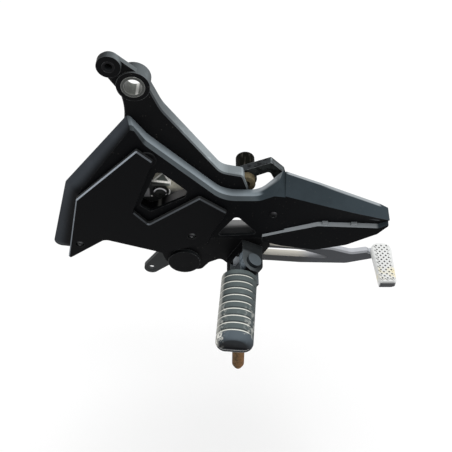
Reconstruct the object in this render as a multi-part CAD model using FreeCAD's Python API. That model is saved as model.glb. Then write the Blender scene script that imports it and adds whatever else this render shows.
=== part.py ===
import FreeCAD, Part
import math
import os

from FreeCAD import Vector

# Footrest hanger for the right-hand side of a motorcycle, in millimetres.
# X points forward, Y inboard and Z up. The origin is on the axis of the upper frame bore, in the face that
# meets the frame, so everything outboard has a negative Y.

# Depths across the machine
ARM_SETBACK = 1.0
ARM_DEPTH = 12.0
ARM_SKIN = 4.5
WEB_LAP = 3.0
WEB_DEPTH = 12.0
WEB_SKIN = 4.0
RIB = 4.5
COVER_WALL = 3.0
RIM_GAP = 0.5
HEEL_STANDOFF = 1.5
HEEL_DEPTH = 4.0
LUG_DEPTH = 8.0

# Fits
RUN_CLEARANCE = 0.05
HOLE_CLEARANCE = 0.15
FACE_GAP = 0.3
CUT_OVERRUN = 1.0

# Upper frame bore and the eye above it
UPPER_BOSS_RADIUS = 13.5
UPPER_BOSS_PROUD = 1.5
UPPER_BUSH_RADIUS = 9.6
UPPER_BORE_RADIUS = 7.2
UPPER_BUSH_PROUD = 0.4
EYE_X = -16.5
EYE_Z = 20.0
EYE_RADIUS = 9.6
EYE_DEPTH = 6.5
EYE_PROUD = 4.0
EYE_LINK_DEPTH = 5.0
EYE_BUSH_RADIUS = 4.8
EYE_BORE_RADIUS = 3.2

# Lower frame lug, its bush and collar
LUG_X = 91.5
LUG_Z = -113.0
LUG_EYE_RADIUS = 10.5
LUG_BUSH_RADIUS = 9.0
LUG_SPIGOT_RADIUS = 6.5
LUG_BORE_RADIUS = 4.25
LUG_COLLAR_DEPTH = 20.0

# Outlines of the casting as (x, z, corner radius)
ARM_OUTLINE = [
    (-13.0, 3.0, 2.0), (-8.4, -24.0, 60.0), (-16.0, -52.0, 6.0), (-2.0, -64.0, 8.0), (52.0, -128.0, 10.0),
    (60.0, -140.0, 6.0), (84.0, -140.0, 5.0), (96.0, -122.0, 4.0), (88.5, -98.0, 3.0), (69.0, -93.5, 16.0),
    (20.5, -23.5, 40.0), (11.5, -0.5, 2.0),
]
ARM_RIBS = [((-12.0, -40.0), (38.0, -40.0)), ((-2.0, -72.0), (58.0, -72.0)), ((20.0, -104.0), (70.0, -90.0))]
LUG_OUTLINE = [
    (81.0, -106.0, 2.0), (114.5, -92.5, 2.0), (127.0, -105.0, 4.0), (131.0, -118.0, 4.0),
    (131.0, -141.0, 3.0), (117.0, -141.0, 3.0), (118.5, -114.0, 4.0), (113.5, -103.5, 3.0),
    (99.0, -110.0, 4.0), (98.0, -124.0, 4.0), (81.0, -122.0, 4.0),
]
LEG_OUTLINE = [
    (118.8, -116.0, 2.0), (128.0, -106.5, 4.0), (131.0, -118.0, 4.0), (131.0, -141.0, 3.0),
    (117.0, -141.0, 3.0),
]
WEB_OUTLINE = [
    (3.5, -58.0, 6.0), (64.5, -130.5, 20.0), (108.0, -131.0, 10.0), (116.0, -126.0, 3.0),
    (129.0, -126.0, 4.0), (129.0, -153.0, 6.0), (113.0, -168.0, 6.0), (117.0, -184.0, 6.0),
    (105.0, -207.0, 6.0), (76.0, -213.0, 6.0), (68.0, -203.5, 5.0), (56.0, -210.0, 5.0),
    (48.0, -221.0, 6.0), (24.0, -222.5, 12.0), (12.0, -206.0, 8.0), (8.0, -190.0, 10.0),
    (-12.0, -150.0, 15.0), (-15.0, -78.0, 10.0), (-8.0, -62.0, 6.0),
]
EDGE_BEVEL = 1.2

# Moulded cover: corners of its outer face, and of its inboard rim, in the same order
COVER_FACE = [
    (-3.5, -32.0, 3.0), (5.0, -50.5, 14.0), (70.5, -117.5, 30.0), (104.0, -117.5, 16.0), (117.0, -111.5, 4.0),
    (128.5, -113.0, 1.0), (128.5, -169.0, 1.0), (62.0, -169.0, 4.0), (8.0, -179.0, 8.0),
    (-43.0, -160.0, 10.0), (-80.0, -188.0, 4.0), (-60.0, -109.0, 8.0),
]
COVER_RIM = [
    (-7.0, -27.0, 3.0), (7.0, -48.0, 14.0), (71.0, -114.0, 30.0), (104.0, -114.5, 20.0), (124.5, -90.5, 1.5),
    (128.5, -93.5, 1.0), (128.5, -169.0, 1.0), (62.0, -169.0, 4.0), (8.0, -179.0, 8.0),
    (-46.0, -160.0, 10.0), (-106.0, -209.0, 8.0), (-72.0, -103.5, 8.0),
]
# Share of the way from rim to face at which each corner's bevel breaks, and the wall along each side, where a
# negative one leaves the side open
COVER_BREAK = 8.0
COVER_SHARES = [0.7, 0.4, 0.3, 0.3, 0.6, 0.7, 0.7, 0.7, 0.7, 0.7, 0.7, 0.7]
COVER_SIDES = [3.0, 3.0, 3.0, 3.0, 3.0, -2.0, -8.0, -8.0, -8.0, 3.0, 3.0, 3.0]
WINDOW_UPPER = [
    (13.9, -79.2, 3.2), (38.5, -105.0, 4.0), (36.8, -112.5, 4.0), (3.0, -132.0, 4.0), (-6.0, -123.0, 3.5),
]
WINDOW_LOWER = [(83.0, -137.0, 4.0), (104.5, -163.5, 3.0), (63.5, -166.0, 3.0)]
WINDOW_MARGIN = 2.5

# Front wedge of the cover: heights of its four lines at stations along X
WEDGE_STATIONS = [127.0, 160.0, 190.0, 218.0, 226.5]
WEDGE_TOP = [-91.5, -106.0, -120.0, -133.0, -138.5]
WEDGE_CREASE = [-111.5, -121.5, -130.5, -138.7, -141.5]
WEDGE_LEDGE = [-157.0, -147.5, -149.0, -150.5, -146.0]
WEDGE_BELLY = [-178.0, -184.5, -177.0, -161.0, -150.0]
WEDGE_PROUD = [0.0, 1.5, 2.5, 2.5, 2.0]
WEDGE_RECESS = [0.8, 1.5, 2.0, 2.0, 1.5]
WEDGE_TOP_WIDTH = 2.5
WEDGE_TOP_FALL = 0.4
WEDGE_JAW_START = 108.0
WEDGE_JAW_LEDGE = -163.0
WEDGE_JAW_BELLY = -171.5
WEDGE_JAW_PROUD = 2.0
WEDGE_LEDGE_DROP = 2.0
WEDGE_WALL = 2.5
WEDGE_BELLY_DRAFT = 0.5
WEDGE_TABS = [164.0, 191.5]
WEDGE_TAB_LENGTH = 5.5
WEDGE_TAB_RISE = 1.8

# Heel plate
HEEL_OUTLINE = [
    (-61.5, -111.0, 2.5), (-1.5, -53.0, 1.5), (11.5, -66.0, 2.0), (-12.0, -127.0, 2.5), (1.0, -144.0, 2.0),
    (49.5, -109.0, 2.0), (74.5, -128.5, 2.0), (61.0, -156.0, 15.0), (56.0, -171.0, 4.0), (11.5, -186.0, 5.0),
    (-43.0, -166.0, 8.0), (-83.5, -195.5, 2.0),
]
HEEL_BEVEL = 1.1
HEEL_PAD_RADIUS = 6.5
HEEL_REST = (6.0, -66.5)
HEEL_REST_RADIUS = 8.0
HEEL_SPIGOT_RADIUS = 3.0

# Screws of the cover and the heel plate
COVER_SCREW = (117.3, -136.0)
HEEL_SCREWS = [(-67.9, -172.0), (40.8, -160.2)]
SCREW_RADIUS = 2.0
SCREW_HEAD_RADIUS = 3.8
SCREW_HEAD_HEIGHT = 2.2
SCREW_REACH = 10.0
SCREW_BOSS_RADIUS = 7.0
SOCKET_RADIUS = 1.6
SOCKET_DEPTH = 1.3

# Bracket plate behind the upper window, its screws and the domed bolt
BRACKET_OUTLINE = [
    (-12.0, -79.0, 5.0), (9.9, -79.0, 3.0), (46.0, -122.0, 4.0), (14.0, -147.0, 6.0), (-9.5, -147.0, 6.0),
    (-13.0, -108.0, 8.0),
]
BRACKET_DEPTH = 3.0
BRACKET_SCREWS = [(-5.0, -86.0), (8.0, -141.5)]
BRACKET_SCREW_REACH = 8.0
LIP_START = 6.5
LIP_END = 23.5
LIP_TOP = -95.0
LIP_DROP = 7.0
LIP_EDGE = 2.5
LIP_REACH = 8.5
DOME_X = 12.5
DOME_Z = -119.5
DOME_RADIUS = 7.5
DOME_HEIGHT = 4.5
DOME_SHANK_RADIUS = 4.0
DOME_REACH = 18.0
DOME_NUT_RADIUS = 7.5
DOME_NUT_DEPTH = 6.0
BOW_OUT = 0.8
BOW_UP = 0.6

# Peg hinge: a clevis about an inclined pin
HINGE_X = 91.5
HINGE_Z = -194.5
HINGE_REACH = 23.5
HINGE_TILT = 28.0
EAR_RADIUS = 11.0
EAR_DEPTH = 7.0
CLEVIS_LAP = 6.0
CLEVIS_CLEARANCE = 1.5
TONGUE_DEPTH = 18.0
TONGUE_RADIUS = 10.0
TONGUE_REACH = 19.0
PEG_PIN_RADIUS = 5.0
PEG_PIN_HEAD_RADIUS = 7.0
PEG_PIN_HEAD_DEPTH = 4.0
PEG_PIN_TAIL = 2.0
WASHER_DEPTH = 1.6
WASHER_OVERHANG = 4.0
CLIP_DEPTH = 1.4
CLIP_OVERHANG = 2.2
CLIP_GROOVE = 0.9

# Springs: sides of their wire's section and degrees between sections
WIRE_SIDES = 8
WIRE_STEP = 30.0

# Peg spring, a torsion coil under the tongue
PEG_SPRING_WIRE = 0.8
PEG_SPRING_TURNS = 3
PEG_SPRING_PITCH = 1.75
PEG_SPRING_PLAY = 1.1
PEG_SPRING_LEG = 13.0

# Peg
PEG_SWEEP = 4.3
PEG_OFFSET = -4.5
PEG_START = 12.5
PEG_LENGTH = 77.3
PEG_WIDTH = 34.0
PEG_SHOULDER = 12.5
PEG_SHOULDER_RADIUS = 7.0
PEG_CROWN = 4.8
PEG_CROWN_RADIUS = 42.0
PEG_FOOT_RADIUS = 1.0
PEG_FLOOR = 3.5
PEG_BASE_DEPTH = 3.0
PEG_BASE_LIP = 1.4
PEG_BASE_CORNER = 9.0
PEG_BASE_HEEL = 2.0
PEG_BEAM_WIDTH = 18.0
PEG_BEAM_RISE = 8.5
PEG_BEAM_SHORT = 6.0
GROOVE_COUNT = 9
GROOVE_PITCH = 7.55
GROOVE_FIRST = 6.4
GROOVE_WIDTH = 2.0
GROOVE_DEPTH = 1.6
GROOVE_FLOOR = 6.0
PEG_END_ROUND = 4.0
PEG_END_STEPS = [(0.0, 0.0), (0.6, 0.22), (0.9, 0.55), (1.0, 1.0)]
FEELER_INSET = 10.5
FEELER_SIDE = 3.5
FEELER_RADIUS = 5.6
FEELER_LENGTH = 43.0
FEELER_TIP = 5.0
FEELER_TIP_RADIUS = 3.8
FEELER_STUD_RADIUS = 3.9
FEELER_NUT_RADIUS = 7.5
FEELER_NUT_DEPTH = 6.0

# Pedal pivot
PIVOT_X = 31.2
PIVOT_Z = -205.3
PIVOT_BOSS_RADIUS = 16.0
PIVOT_BOSS_PROUD = 4.0
PIVOT_BOSS_FLOOR = 2.5
PIVOT_RADIUS = 7.0
PIVOT_TAIL = 2.0
HUB_RADIUS = 12.0
HUB_BORE_RADIUS = 9.0
PEDAL_BUSH_DEPTH = 6.0
PEDAL_GAP = 0.5
PEDAL_DEPTH = 8.0
HUB_PROUD = 2.5

# Pedal arm as (x, z, corner radius) from the pivot, and its tapered slot
PEDAL_OUTLINE = [
    (12.0, 13.9, 3.0), (72.8, 11.3, 20.0), (107.8, 5.8, 60.0), (149.8, 2.0, 20.0), (171.8, -5.7, 14.0),
    (187.4, -2.6, 1.5), (189.7, -4.7, 1.0), (209.5, -4.7, 3.0), (209.5, -13.7, 3.0), (194.8, -15.2, 20.0),
    (167.8, -23.0, 20.0), (119.8, -21.7, 60.0), (85.8, -18.2, 60.0), (6.0, -15.4, 3.0),
]
PEDAL_SLOT = [(78.8, 4.3, 3.0), (118.8, 0.8, 40.0), (155.8, -14.2, 1.6), (78.8, -7.2, 3.0)]
PEDAL_EYE_RADIUS = 16.0
PEDAL_BEVEL = 1.6

# Rod lever
LEVER_LENGTH = 55.0
LEVER_ANGLE = 226.3
LEVER_DEPTH = 5.0
LEVER_EYE_RADIUS = 15.0
LEVER_TIP_RADIUS = 8.0
LEVER_HOLE_RADIUS = 4.0

# Pedal pad on its carrier
PAD_WIDTH = 17.0
PAD_SPLAY = 2.0
PAD_LENGTH = 51.5
PAD_DEPTH = 7.0
PAD_CORNER = 3.5
PAD_HEEL_CORNER = 8.0
PAD_BEVEL = 1.2
PAD_START = 192.6
CARRIER_WIDTH = 13.0
CARRIER_DEPTH = 6.0
CARRIER_SHORT = 4.0
PAD_OVERHANG = 0.0
PAD_BOLT_RADIUS = 2.5
PAD_BOLT_HEAD_RADIUS = 4.4
PAD_BOLT_HEAD_DEPTH = 3.0
PAD_BOLT_BITE = 4.0
PAD_BOLT_INSET = 10.0

# Return spring between a post on the web and a pin on the pedal
SPRING_X = 62.0
SPRING_TOP_Z = -150.0
SPRING_BOTTOM_Z = -204.0
SPRING_STANDOFF = 5.5
SPRING_WIRE = 0.9
SPRING_TURNS = 9
SPRING_HOOK_LEG = 8.0
PIN_RADIUS = 2.5
PIN_HEAD_RADIUS = 4.0
PIN_HEAD_DEPTH = 1.5
PIN_BITE = 6.0
HOOK_PLAY = 0.3

# Pedal stop bolt in a lug of the web
STOP_X = 50.0
STOP_LUG_WIDTH = 13.0
STOP_LUG_TOP = -172.0
STOP_LUG_HEIGHT = 10.0
STOP_RADIUS = 3.0
STOP_HEAD_RADIUS = 5.0
STOP_HEAD_DEPTH = 4.0
STOP_NUT_DEPTH = 4.5
SHELF_DEPTH = 4.0
SHELF_START = 68.0
SHELF_END = 106.0

# Levels that follow from the depths
ARM_IN = -ARM_SETBACK
ARM_OUT = ARM_IN - ARM_DEPTH
LUG_OUT = ARM_IN
LUG_IN = LUG_OUT + LUG_DEPTH
COLLAR_IN = LUG_IN + LUG_COLLAR_DEPTH
WEB_IN = ARM_OUT + WEB_LAP
WEB_OUT = WEB_IN - WEB_DEPTH
COVER_OUT = WEB_OUT - COVER_WALL
COVER_BACK = ARM_OUT - RIM_GAP
HEEL_IN = COVER_OUT - HEEL_STANDOFF
HEEL_OUT = HEEL_IN - HEEL_DEPTH
BRACKET_IN = WEB_IN + BRACKET_DEPTH
PEDAL_OUT = WEB_IN + PEDAL_GAP
PEDAL_IN = PEDAL_OUT + PEDAL_DEPTH
LEVER_IN = PEDAL_IN + LEVER_DEPTH
HUB_OUT = WEB_IN + FACE_GAP
HUB_IN = LEVER_IN + HUB_PROUD
SPRING_Y = PEDAL_IN + SPRING_STANDOFF
HINGE_Y = WEB_OUT - HINGE_REACH
LUG_BUSH_OUT = ARM_OUT + ARM_SKIN + FACE_GAP
EAR_IN = TONGUE_DEPTH / 2 + FACE_GAP
EAR_OUT = EAR_IN + EAR_DEPTH
COIL_RADIUS = PIN_RADIUS + HOOK_PLAY + SPRING_WIRE
PEG_COIL_RADIUS = PEG_PIN_RADIUS + PEG_SPRING_PLAY + PEG_SPRING_WIRE
PEG_COIL_SPACE = PEG_SPRING_TURNS * PEG_SPRING_PITCH + 2 * PEG_SPRING_WIRE + FACE_GAP
PEG_BASE = PEG_FLOOR - PEG_BASE_DEPTH
PEG_END = PEG_START + PEG_LENGTH
FEELER_PLACE = Vector(PEG_END - FEELER_INSET, FEELER_SIDE, 0)

# Directions of the hinge: outboard, across the ears and along the pin
TILT = math.radians(HINGE_TILT)
SWEEP = math.radians(PEG_SWEEP)
HINGE = Vector(HINGE_X, HINGE_Y, HINGE_Z)
HINGE_PLACE = FreeCAD.Placement(HINGE, FreeCAD.Rotation(
    Vector(0, -1, 0), Vector(math.cos(TILT), 0, -math.sin(TILT)), Vector(math.sin(TILT), 0, math.cos(TILT))))
PEG_PLACE = FreeCAD.Placement(HINGE + Vector(PEG_OFFSET, 0, 0), FreeCAD.Rotation(
    Vector(-math.sin(SWEEP), -math.cos(SWEEP), 0), Vector(math.cos(SWEEP), -math.sin(SWEEP), 0),
    Vector(0, 0, 1)))


# Shapes

def corner_arc(before, corner, after, radius):
    """First, middle and last point of the arc that rounds a corner."""
    back = (before - corner).normalize()
    on = (after - corner).normalize()
    half = back.getAngle(on) / 2
    reach = radius / math.tan(half)
    bisector = (back + on).normalize()
    middle = corner + bisector * (radius / math.sin(half) - radius)
    return corner + back * reach, middle, corner + on * reach


def rounded_wire(corners):
    """Closed wire through (point, radius) corners, each rounded by a tangent arc."""
    arcs = []
    for i, (point, radius) in enumerate(corners):
        arcs.append(corner_arc(corners[i - 1][0], point, corners[(i + 1) % len(corners)][0], radius))
    edges = []
    for i, (first, middle, last) in enumerate(arcs):
        edges.append(Part.Arc(first, middle, last).toShape())
        edges.append(Part.LineSegment(last, arcs[(i + 1) % len(arcs)][0]).toShape())
    return Part.Wire(edges)


def side_wire(outline, y):
    """Wire of an (x, z, radius) outline at one level across the machine."""
    return rounded_wire([(Vector(x, y, z), radius) for x, z, radius in outline])


def station_wire(section, x):
    """Sharp-cornered wire of a (y, z) section at one station along the machine."""
    points = [Vector(x, y, z) for y, z in section]
    return Part.makePolygon(points + points[:1])


def inset(outline, walls):
    """Outline with each edge moved inwards by its wall, or by one wall for all; negative is outwards."""
    count = len(outline)
    if not isinstance(walls, list):
        walls = [walls] * count
    area = sum(outline[i - 1][0] * outline[i][1] - outline[i][0] * outline[i - 1][1] for i in range(count))
    hand = math.copysign(1.0, area)
    normals = []
    for i in range(count):
        run = outline[(i + 1) % count][0] - outline[i][0]
        rise = outline[(i + 1) % count][1] - outline[i][1]
        length = math.hypot(run, rise)
        normals.append((-hand * rise / length, hand * run / length))
    moved = []
    for i in range(count):
        (ax, az), (bx, bz) = normals[i - 1], normals[i]
        cross = ax * bz - az * bx
        shift_x = (walls[i - 1] * bz - walls[i] * az) / cross
        shift_z = (walls[i] * ax - walls[i - 1] * bx) / cross
        change = math.copysign(1.0, cross * hand) * (walls[i - 1] + walls[i]) / 2
        radius = max(outline[i][2] - change, outline[i][2] / 4)
        moved.append((outline[i][0] + shift_x, outline[i][1] + shift_z, radius))
    return moved


def inset_section(section, walls):
    """Sharp-cornered (y, z) section with each edge moved inwards by its wall."""
    return [(y, z) for y, z, radius in inset([(y, z, 0.0) for y, z in section], walls)]


def prism(outline, near, far):
    """Solid of an (x, z, radius) outline between two levels."""
    return Part.Face(side_wire(outline, near)).extrude(Vector(0, far - near, 0))


def bevelled(outline, near, far, bevel):
    """Prism whose outboard edges are bevelled."""
    wires = [side_wire(inset(outline, bevel), near), side_wire(outline, near + bevel)]
    wires.append(side_wire(outline, far))
    return Part.makeLoft(wires, True, True)


def drum(x, z, radius, near, far):
    """Cylinder across the machine between two levels."""
    return Part.makeCylinder(radius, far - near, Vector(x, near, z), Vector(0, 1, 0))


def strap(start, start_radius, end, end_radius, near, far):
    """Flat link with a round at each end, its sides tangent to both."""
    run = end[0] - start[0]
    rise = end[1] - start[1]
    along = math.atan2(rise, run)
    open_angle = math.acos((start_radius - end_radius) / math.hypot(run, rise))
    points = []
    for (x, z), radius, angle in (
        (start, start_radius, along + open_angle), (end, end_radius, along + open_angle),
        (end, end_radius, along - open_angle), (start, start_radius, along - open_angle),
    ):
        points.append(Vector(x + radius * math.cos(angle), near, z + radius * math.sin(angle)))
    side = Part.Face(Part.makePolygon(points + [points[0]])).extrude(Vector(0, far - near, 0))
    return fuse([side, drum(*start, start_radius, near, far), drum(*end, end_radius, near, far)])


def fuse(shapes):
    """One solid from several, with split faces merged."""
    return shapes[0].multiFuse(shapes[1:]).removeSplitter()


def block(low, high):
    """Box between two corners."""
    return Part.makeBox(high[0] - low[0], high[1] - low[1], high[2] - low[2], Vector(*low))


def placed(shape, place):
    """Shape moved from a local frame to its place."""
    moved = shape.copy()
    moved.Placement = place.multiply(shape.Placement)
    return moved


def rod(radius, low, high):
    """Cylinder along a local Z between two heights."""
    return Part.makeCylinder(radius, high - low, Vector(0, 0, low))


def hexagon(radius, low, high):
    """Hexagonal prism along a local Z, across its corners."""
    points = []
    for i in range(7):
        points.append(Vector(radius * math.cos(math.pi * i / 3), radius * math.sin(math.pi * i / 3), low))
    return Part.Face(Part.makePolygon(points)).extrude(Vector(0, 0, high - low))


def inward(x, y, z):
    """Place whose local Z points inboard."""
    return FreeCAD.Placement(Vector(x, y, z), FreeCAD.Rotation(Vector(1, 0, 0), -90))


def dome_screw(x, z, seat, head_radius, head_height, shank_radius, reach, socket_radius):
    """Screw with a domed socket head that sits at one level and reaches inboard."""
    shoulder = Vector(head_radius * BOW_OUT, 0, -head_height * BOW_UP)
    bow = Part.Arc(Vector(head_radius, 0, 0), shoulder, Vector(0, 0, -head_height))
    sides = [Vector(0, 0, -head_height), Vector(0, 0, reach), Vector(shank_radius, 0, reach)]
    sides += [Vector(shank_radius, 0, 0), Vector(head_radius, 0, 0)]
    edges = [bow.toShape()]
    for first, last in zip(sides, sides[1:]):
        edges.append(Part.LineSegment(first, last).toShape())
    turned = Part.Face(Part.Wire(edges)).revolve(Vector(0, 0, 0), Vector(0, 0, 1), 360)
    socket = hexagon(socket_radius, -head_height - CUT_OVERRUN, -head_height + SOCKET_DEPTH)
    return placed(turned.cut(socket), inward(x, seat, z))


# Hanger

def window_cut(outline, margin):
    """Prism that opens a window through the web."""
    return prism(inset(outline, -margin), WEB_OUT - CUT_OVERRUN, WEB_IN + CUT_OVERRUN)


def clevis():
    """Two ears and the block that joins them, in the hinge's own frame."""
    root = -HINGE_REACH - CLEVIS_LAP
    face = -TONGUE_RADIUS - CLEVIS_CLEARANCE
    ears = [block((root, -EAR_RADIUS, -EAR_OUT), (face, EAR_RADIUS, EAR_OUT))]
    for low, high in ((-EAR_OUT, -EAR_IN), (EAR_IN, EAR_OUT)):
        ears.append(block((root, -EAR_RADIUS, low), (0, EAR_RADIUS, high)))
        ears.append(rod(EAR_RADIUS, low, high))
    return placed(fuse(ears), HINGE_PLACE)


def stop_lug():
    """Block on the web's inboard face that holds the pedal's stop bolt, and the shelf below the window."""
    half = STOP_LUG_WIDTH / 2
    low = STOP_LUG_TOP - STOP_LUG_HEIGHT
    lug = block((STOP_X - half, WEB_OUT + WEB_SKIN, low), (STOP_X + half, PEDAL_IN, STOP_LUG_TOP))
    shelf_top = min(z for x, z, radius in WINDOW_LOWER) - WINDOW_MARGIN
    shelf = block(
        (SHELF_START, WEB_OUT + WEB_SKIN, shelf_top - SHELF_DEPTH), (SHELF_END, PEDAL_IN, shelf_top))
    return fuse([lug, shelf])


def arm_pocket():
    """Ribbed hollow in the arm's inboard side."""
    floor = ARM_OUT + ARM_SKIN
    end = ARM_IN + CUT_OVERRUN
    hollow = prism(inset(ARM_OUTLINE, RIB), floor, end)
    kept = [drum(0, 0, UPPER_BOSS_RADIUS, floor, end)]
    kept.append(drum(LUG_X, LUG_Z, LUG_EYE_RADIUS + RIB, floor, end))
    for first, last in ARM_RIBS:
        kept.append(strap(first, RIB / 2, last, RIB / 2, floor, end))
    return hollow.cut(kept)


def web_pocket():
    """Ribbed hollow in the web's inboard side, between its bosses, windows and seats."""
    floor = WEB_OUT + WEB_SKIN
    end = WEB_IN + CUT_OVERRUN
    hollow = prism(inset(WEB_OUTLINE, RIB), floor, end)
    kept = [prism(inset(ARM_OUTLINE, -FACE_GAP), floor, end)]
    kept.append(drum(PIVOT_X, PIVOT_Z, PIVOT_BOSS_RADIUS, floor, end))
    for outline in (WINDOW_UPPER, WINDOW_LOWER):
        kept.append(prism(inset(outline, -WINDOW_MARGIN - RIB), floor, end))
    for x, z in [COVER_SCREW, HEEL_SCREWS[1], (SPRING_X, SPRING_TOP_Z)] + BRACKET_SCREWS:
        kept.append(drum(x, z, SCREW_BOSS_RADIUS, floor, end))
    kept.append(prism(inset(LEG_OUTLINE, -FACE_GAP), floor, end))
    kept.append(clevis())
    kept.append(stop_lug())
    return hollow.cut(kept)


def hanger_casting():
    """Arm, web, clevis, lug and bosses, cast in one piece."""
    solid = [bevelled(ARM_OUTLINE, ARM_OUT, ARM_IN, EDGE_BEVEL)]
    solid.append(drum(0, 0, UPPER_BOSS_RADIUS, ARM_OUT - UPPER_BOSS_PROUD, 0))
    link_in = ARM_OUT + EYE_LINK_DEPTH
    link_radii = (UPPER_BOSS_RADIUS - EDGE_BEVEL, EYE_RADIUS - EDGE_BEVEL)
    solid.append(strap((0, 0), link_radii[0], (EYE_X, EYE_Z), link_radii[1], ARM_OUT, link_in))
    solid.append(drum(EYE_X, EYE_Z, EYE_RADIUS, ARM_OUT - EYE_PROUD, ARM_OUT - EYE_PROUD + EYE_DEPTH))
    lug = [prism(LUG_OUTLINE, LUG_OUT, LUG_IN), drum(LUG_X, LUG_Z, LUG_EYE_RADIUS, LUG_OUT, LUG_IN)]
    lug.append(prism(LEG_OUTLINE, WEB_IN - WEB_LAP, LUG_IN))
    windows = [window_cut(outline, WINDOW_MARGIN) for outline in (WINDOW_UPPER, WINDOW_LOWER)]
    web = prism(WEB_OUTLINE, WEB_OUT, WEB_IN).cut(windows)
    boss = drum(PIVOT_X, PIVOT_Z, PIVOT_BOSS_RADIUS, WEB_OUT - PIVOT_BOSS_PROUD, WEB_IN)
    body = fuse(solid + lug + [web, boss, clevis(), stop_lug()])
    cuts = [arm_pocket(), web_pocket()]
    cuts.append(drum(0, 0, UPPER_BUSH_RADIUS, ARM_OUT - UPPER_BOSS_PROUD - CUT_OVERRUN, CUT_OVERRUN))
    eye_near = ARM_OUT - EYE_PROUD - CUT_OVERRUN
    cuts.append(drum(EYE_X, EYE_Z, EYE_BUSH_RADIUS, eye_near, eye_near + EYE_DEPTH + 2 * CUT_OVERRUN))
    cuts.append(drum(LUG_X, LUG_Z, LUG_SPIGOT_RADIUS, LUG_OUT - CUT_OVERRUN, LUG_IN + CUT_OVERRUN))
    cuts.append(drum(LUG_X, LUG_Z, LUG_BUSH_RADIUS + FACE_GAP, ARM_OUT + ARM_SKIN, LUG_OUT))
    screw_hole = SCREW_RADIUS + HOLE_CLEARANCE
    for x, z in (COVER_SCREW, HEEL_SCREWS[1]):
        cuts.append(drum(x, z, screw_hole, WEB_OUT - CUT_OVERRUN, WEB_IN + CUT_OVERRUN))
    for x, z in BRACKET_SCREWS:
        cuts.append(drum(x, z, screw_hole, WEB_IN - BRACKET_SCREW_REACH, WEB_IN + CUT_OVERRUN))
    cuts.append(drum(SPRING_X, SPRING_TOP_Z, PIN_RADIUS, WEB_IN - PIN_BITE, WEB_IN + CUT_OVERRUN))
    shaft_end = WEB_OUT - PIVOT_BOSS_PROUD + PIVOT_BOSS_FLOOR
    cuts.append(drum(PIVOT_X, PIVOT_Z, PIVOT_RADIUS, shaft_end, WEB_IN + CUT_OVERRUN))
    pin_hole = rod(PEG_PIN_RADIUS + RUN_CLEARANCE, -EAR_OUT - CUT_OVERRUN, EAR_OUT + CUT_OVERRUN)
    cuts.append(placed(pin_hole, HINGE_PLACE))
    stop_y = (PEDAL_OUT + PEDAL_IN) / 2
    stop_hole = Part.makeCylinder(STOP_RADIUS, STOP_LUG_HEIGHT + 2 * CUT_OVERRUN,
                                  Vector(STOP_X, stop_y, STOP_LUG_TOP - STOP_LUG_HEIGHT - CUT_OVERRUN))
    cuts.append(stop_hole)
    return body.cut(cuts).removeSplitter()


def upper_bush():
    """Steel sleeve in the upper frame bore."""
    near = ARM_OUT - UPPER_BOSS_PROUD - UPPER_BUSH_PROUD
    return drum(0, 0, UPPER_BUSH_RADIUS, near, 0).cut(
        drum(0, 0, UPPER_BORE_RADIUS, near - CUT_OVERRUN, CUT_OVERRUN))


def eye_bush():
    """Steel insert in the eye."""
    near = ARM_OUT - EYE_PROUD
    far = near + EYE_DEPTH
    return drum(EYE_X, EYE_Z, EYE_BUSH_RADIUS, near, far).cut(
        drum(EYE_X, EYE_Z, EYE_BORE_RADIUS, near - CUT_OVERRUN, far + CUT_OVERRUN))


def lug_bush():
    """Shouldered bush: a wide end outboard of the lug and a spigot through lug and collar."""
    wide = drum(LUG_X, LUG_Z, LUG_BUSH_RADIUS, LUG_BUSH_OUT, LUG_OUT)
    spigot = drum(LUG_X, LUG_Z, LUG_SPIGOT_RADIUS, LUG_OUT, COLLAR_IN)
    bore = drum(LUG_X, LUG_Z, LUG_BORE_RADIUS, LUG_BUSH_OUT - CUT_OVERRUN, COLLAR_IN + CUT_OVERRUN)
    return fuse([wide, spigot]).cut(bore)


def lug_collar():
    """Collar round the bush's inboard end."""
    sleeve = drum(LUG_X, LUG_Z, LUG_BUSH_RADIUS, LUG_IN, COLLAR_IN)
    return sleeve.cut(drum(LUG_X, LUG_Z, LUG_SPIGOT_RADIUS, LUG_IN - CUT_OVERRUN, COLLAR_IN + CUT_OVERRUN))


# Cover

def wedge_section(i):
    """Section of the front wedge at one station, from top to belly, as (y, z)."""
    jaw = COVER_OUT - WEDGE_JAW_PROUD
    return [
        (COVER_BACK, WEDGE_TOP[i]), (COVER_BACK - WEDGE_TOP_WIDTH, WEDGE_TOP[i] - WEDGE_TOP_FALL),
        (COVER_OUT - WEDGE_PROUD[i], WEDGE_CREASE[i]), (COVER_OUT + WEDGE_RECESS[i], WEDGE_LEDGE[i]),
        (jaw, WEDGE_LEDGE[i] - WEDGE_LEDGE_DROP), (jaw, WEDGE_BELLY[i]),
        (COVER_BACK, WEDGE_BELLY[i] - WEDGE_BELLY_DRAFT),
    ]


def wedge(wall):
    """Front wedge, or its hollow, which ends short of the solid nose, when a wall is given."""
    wires = []
    for i, x in enumerate(WEDGE_STATIONS):
        section = wedge_section(i)
        if wall:
            section = inset_section(section, [wall] * (len(section) - 1) + [-CUT_OVERRUN])
        wires.append(station_wire(section, x))
    return Part.makeLoft(wires[:-1] if wall else wires, True, True)


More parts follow.
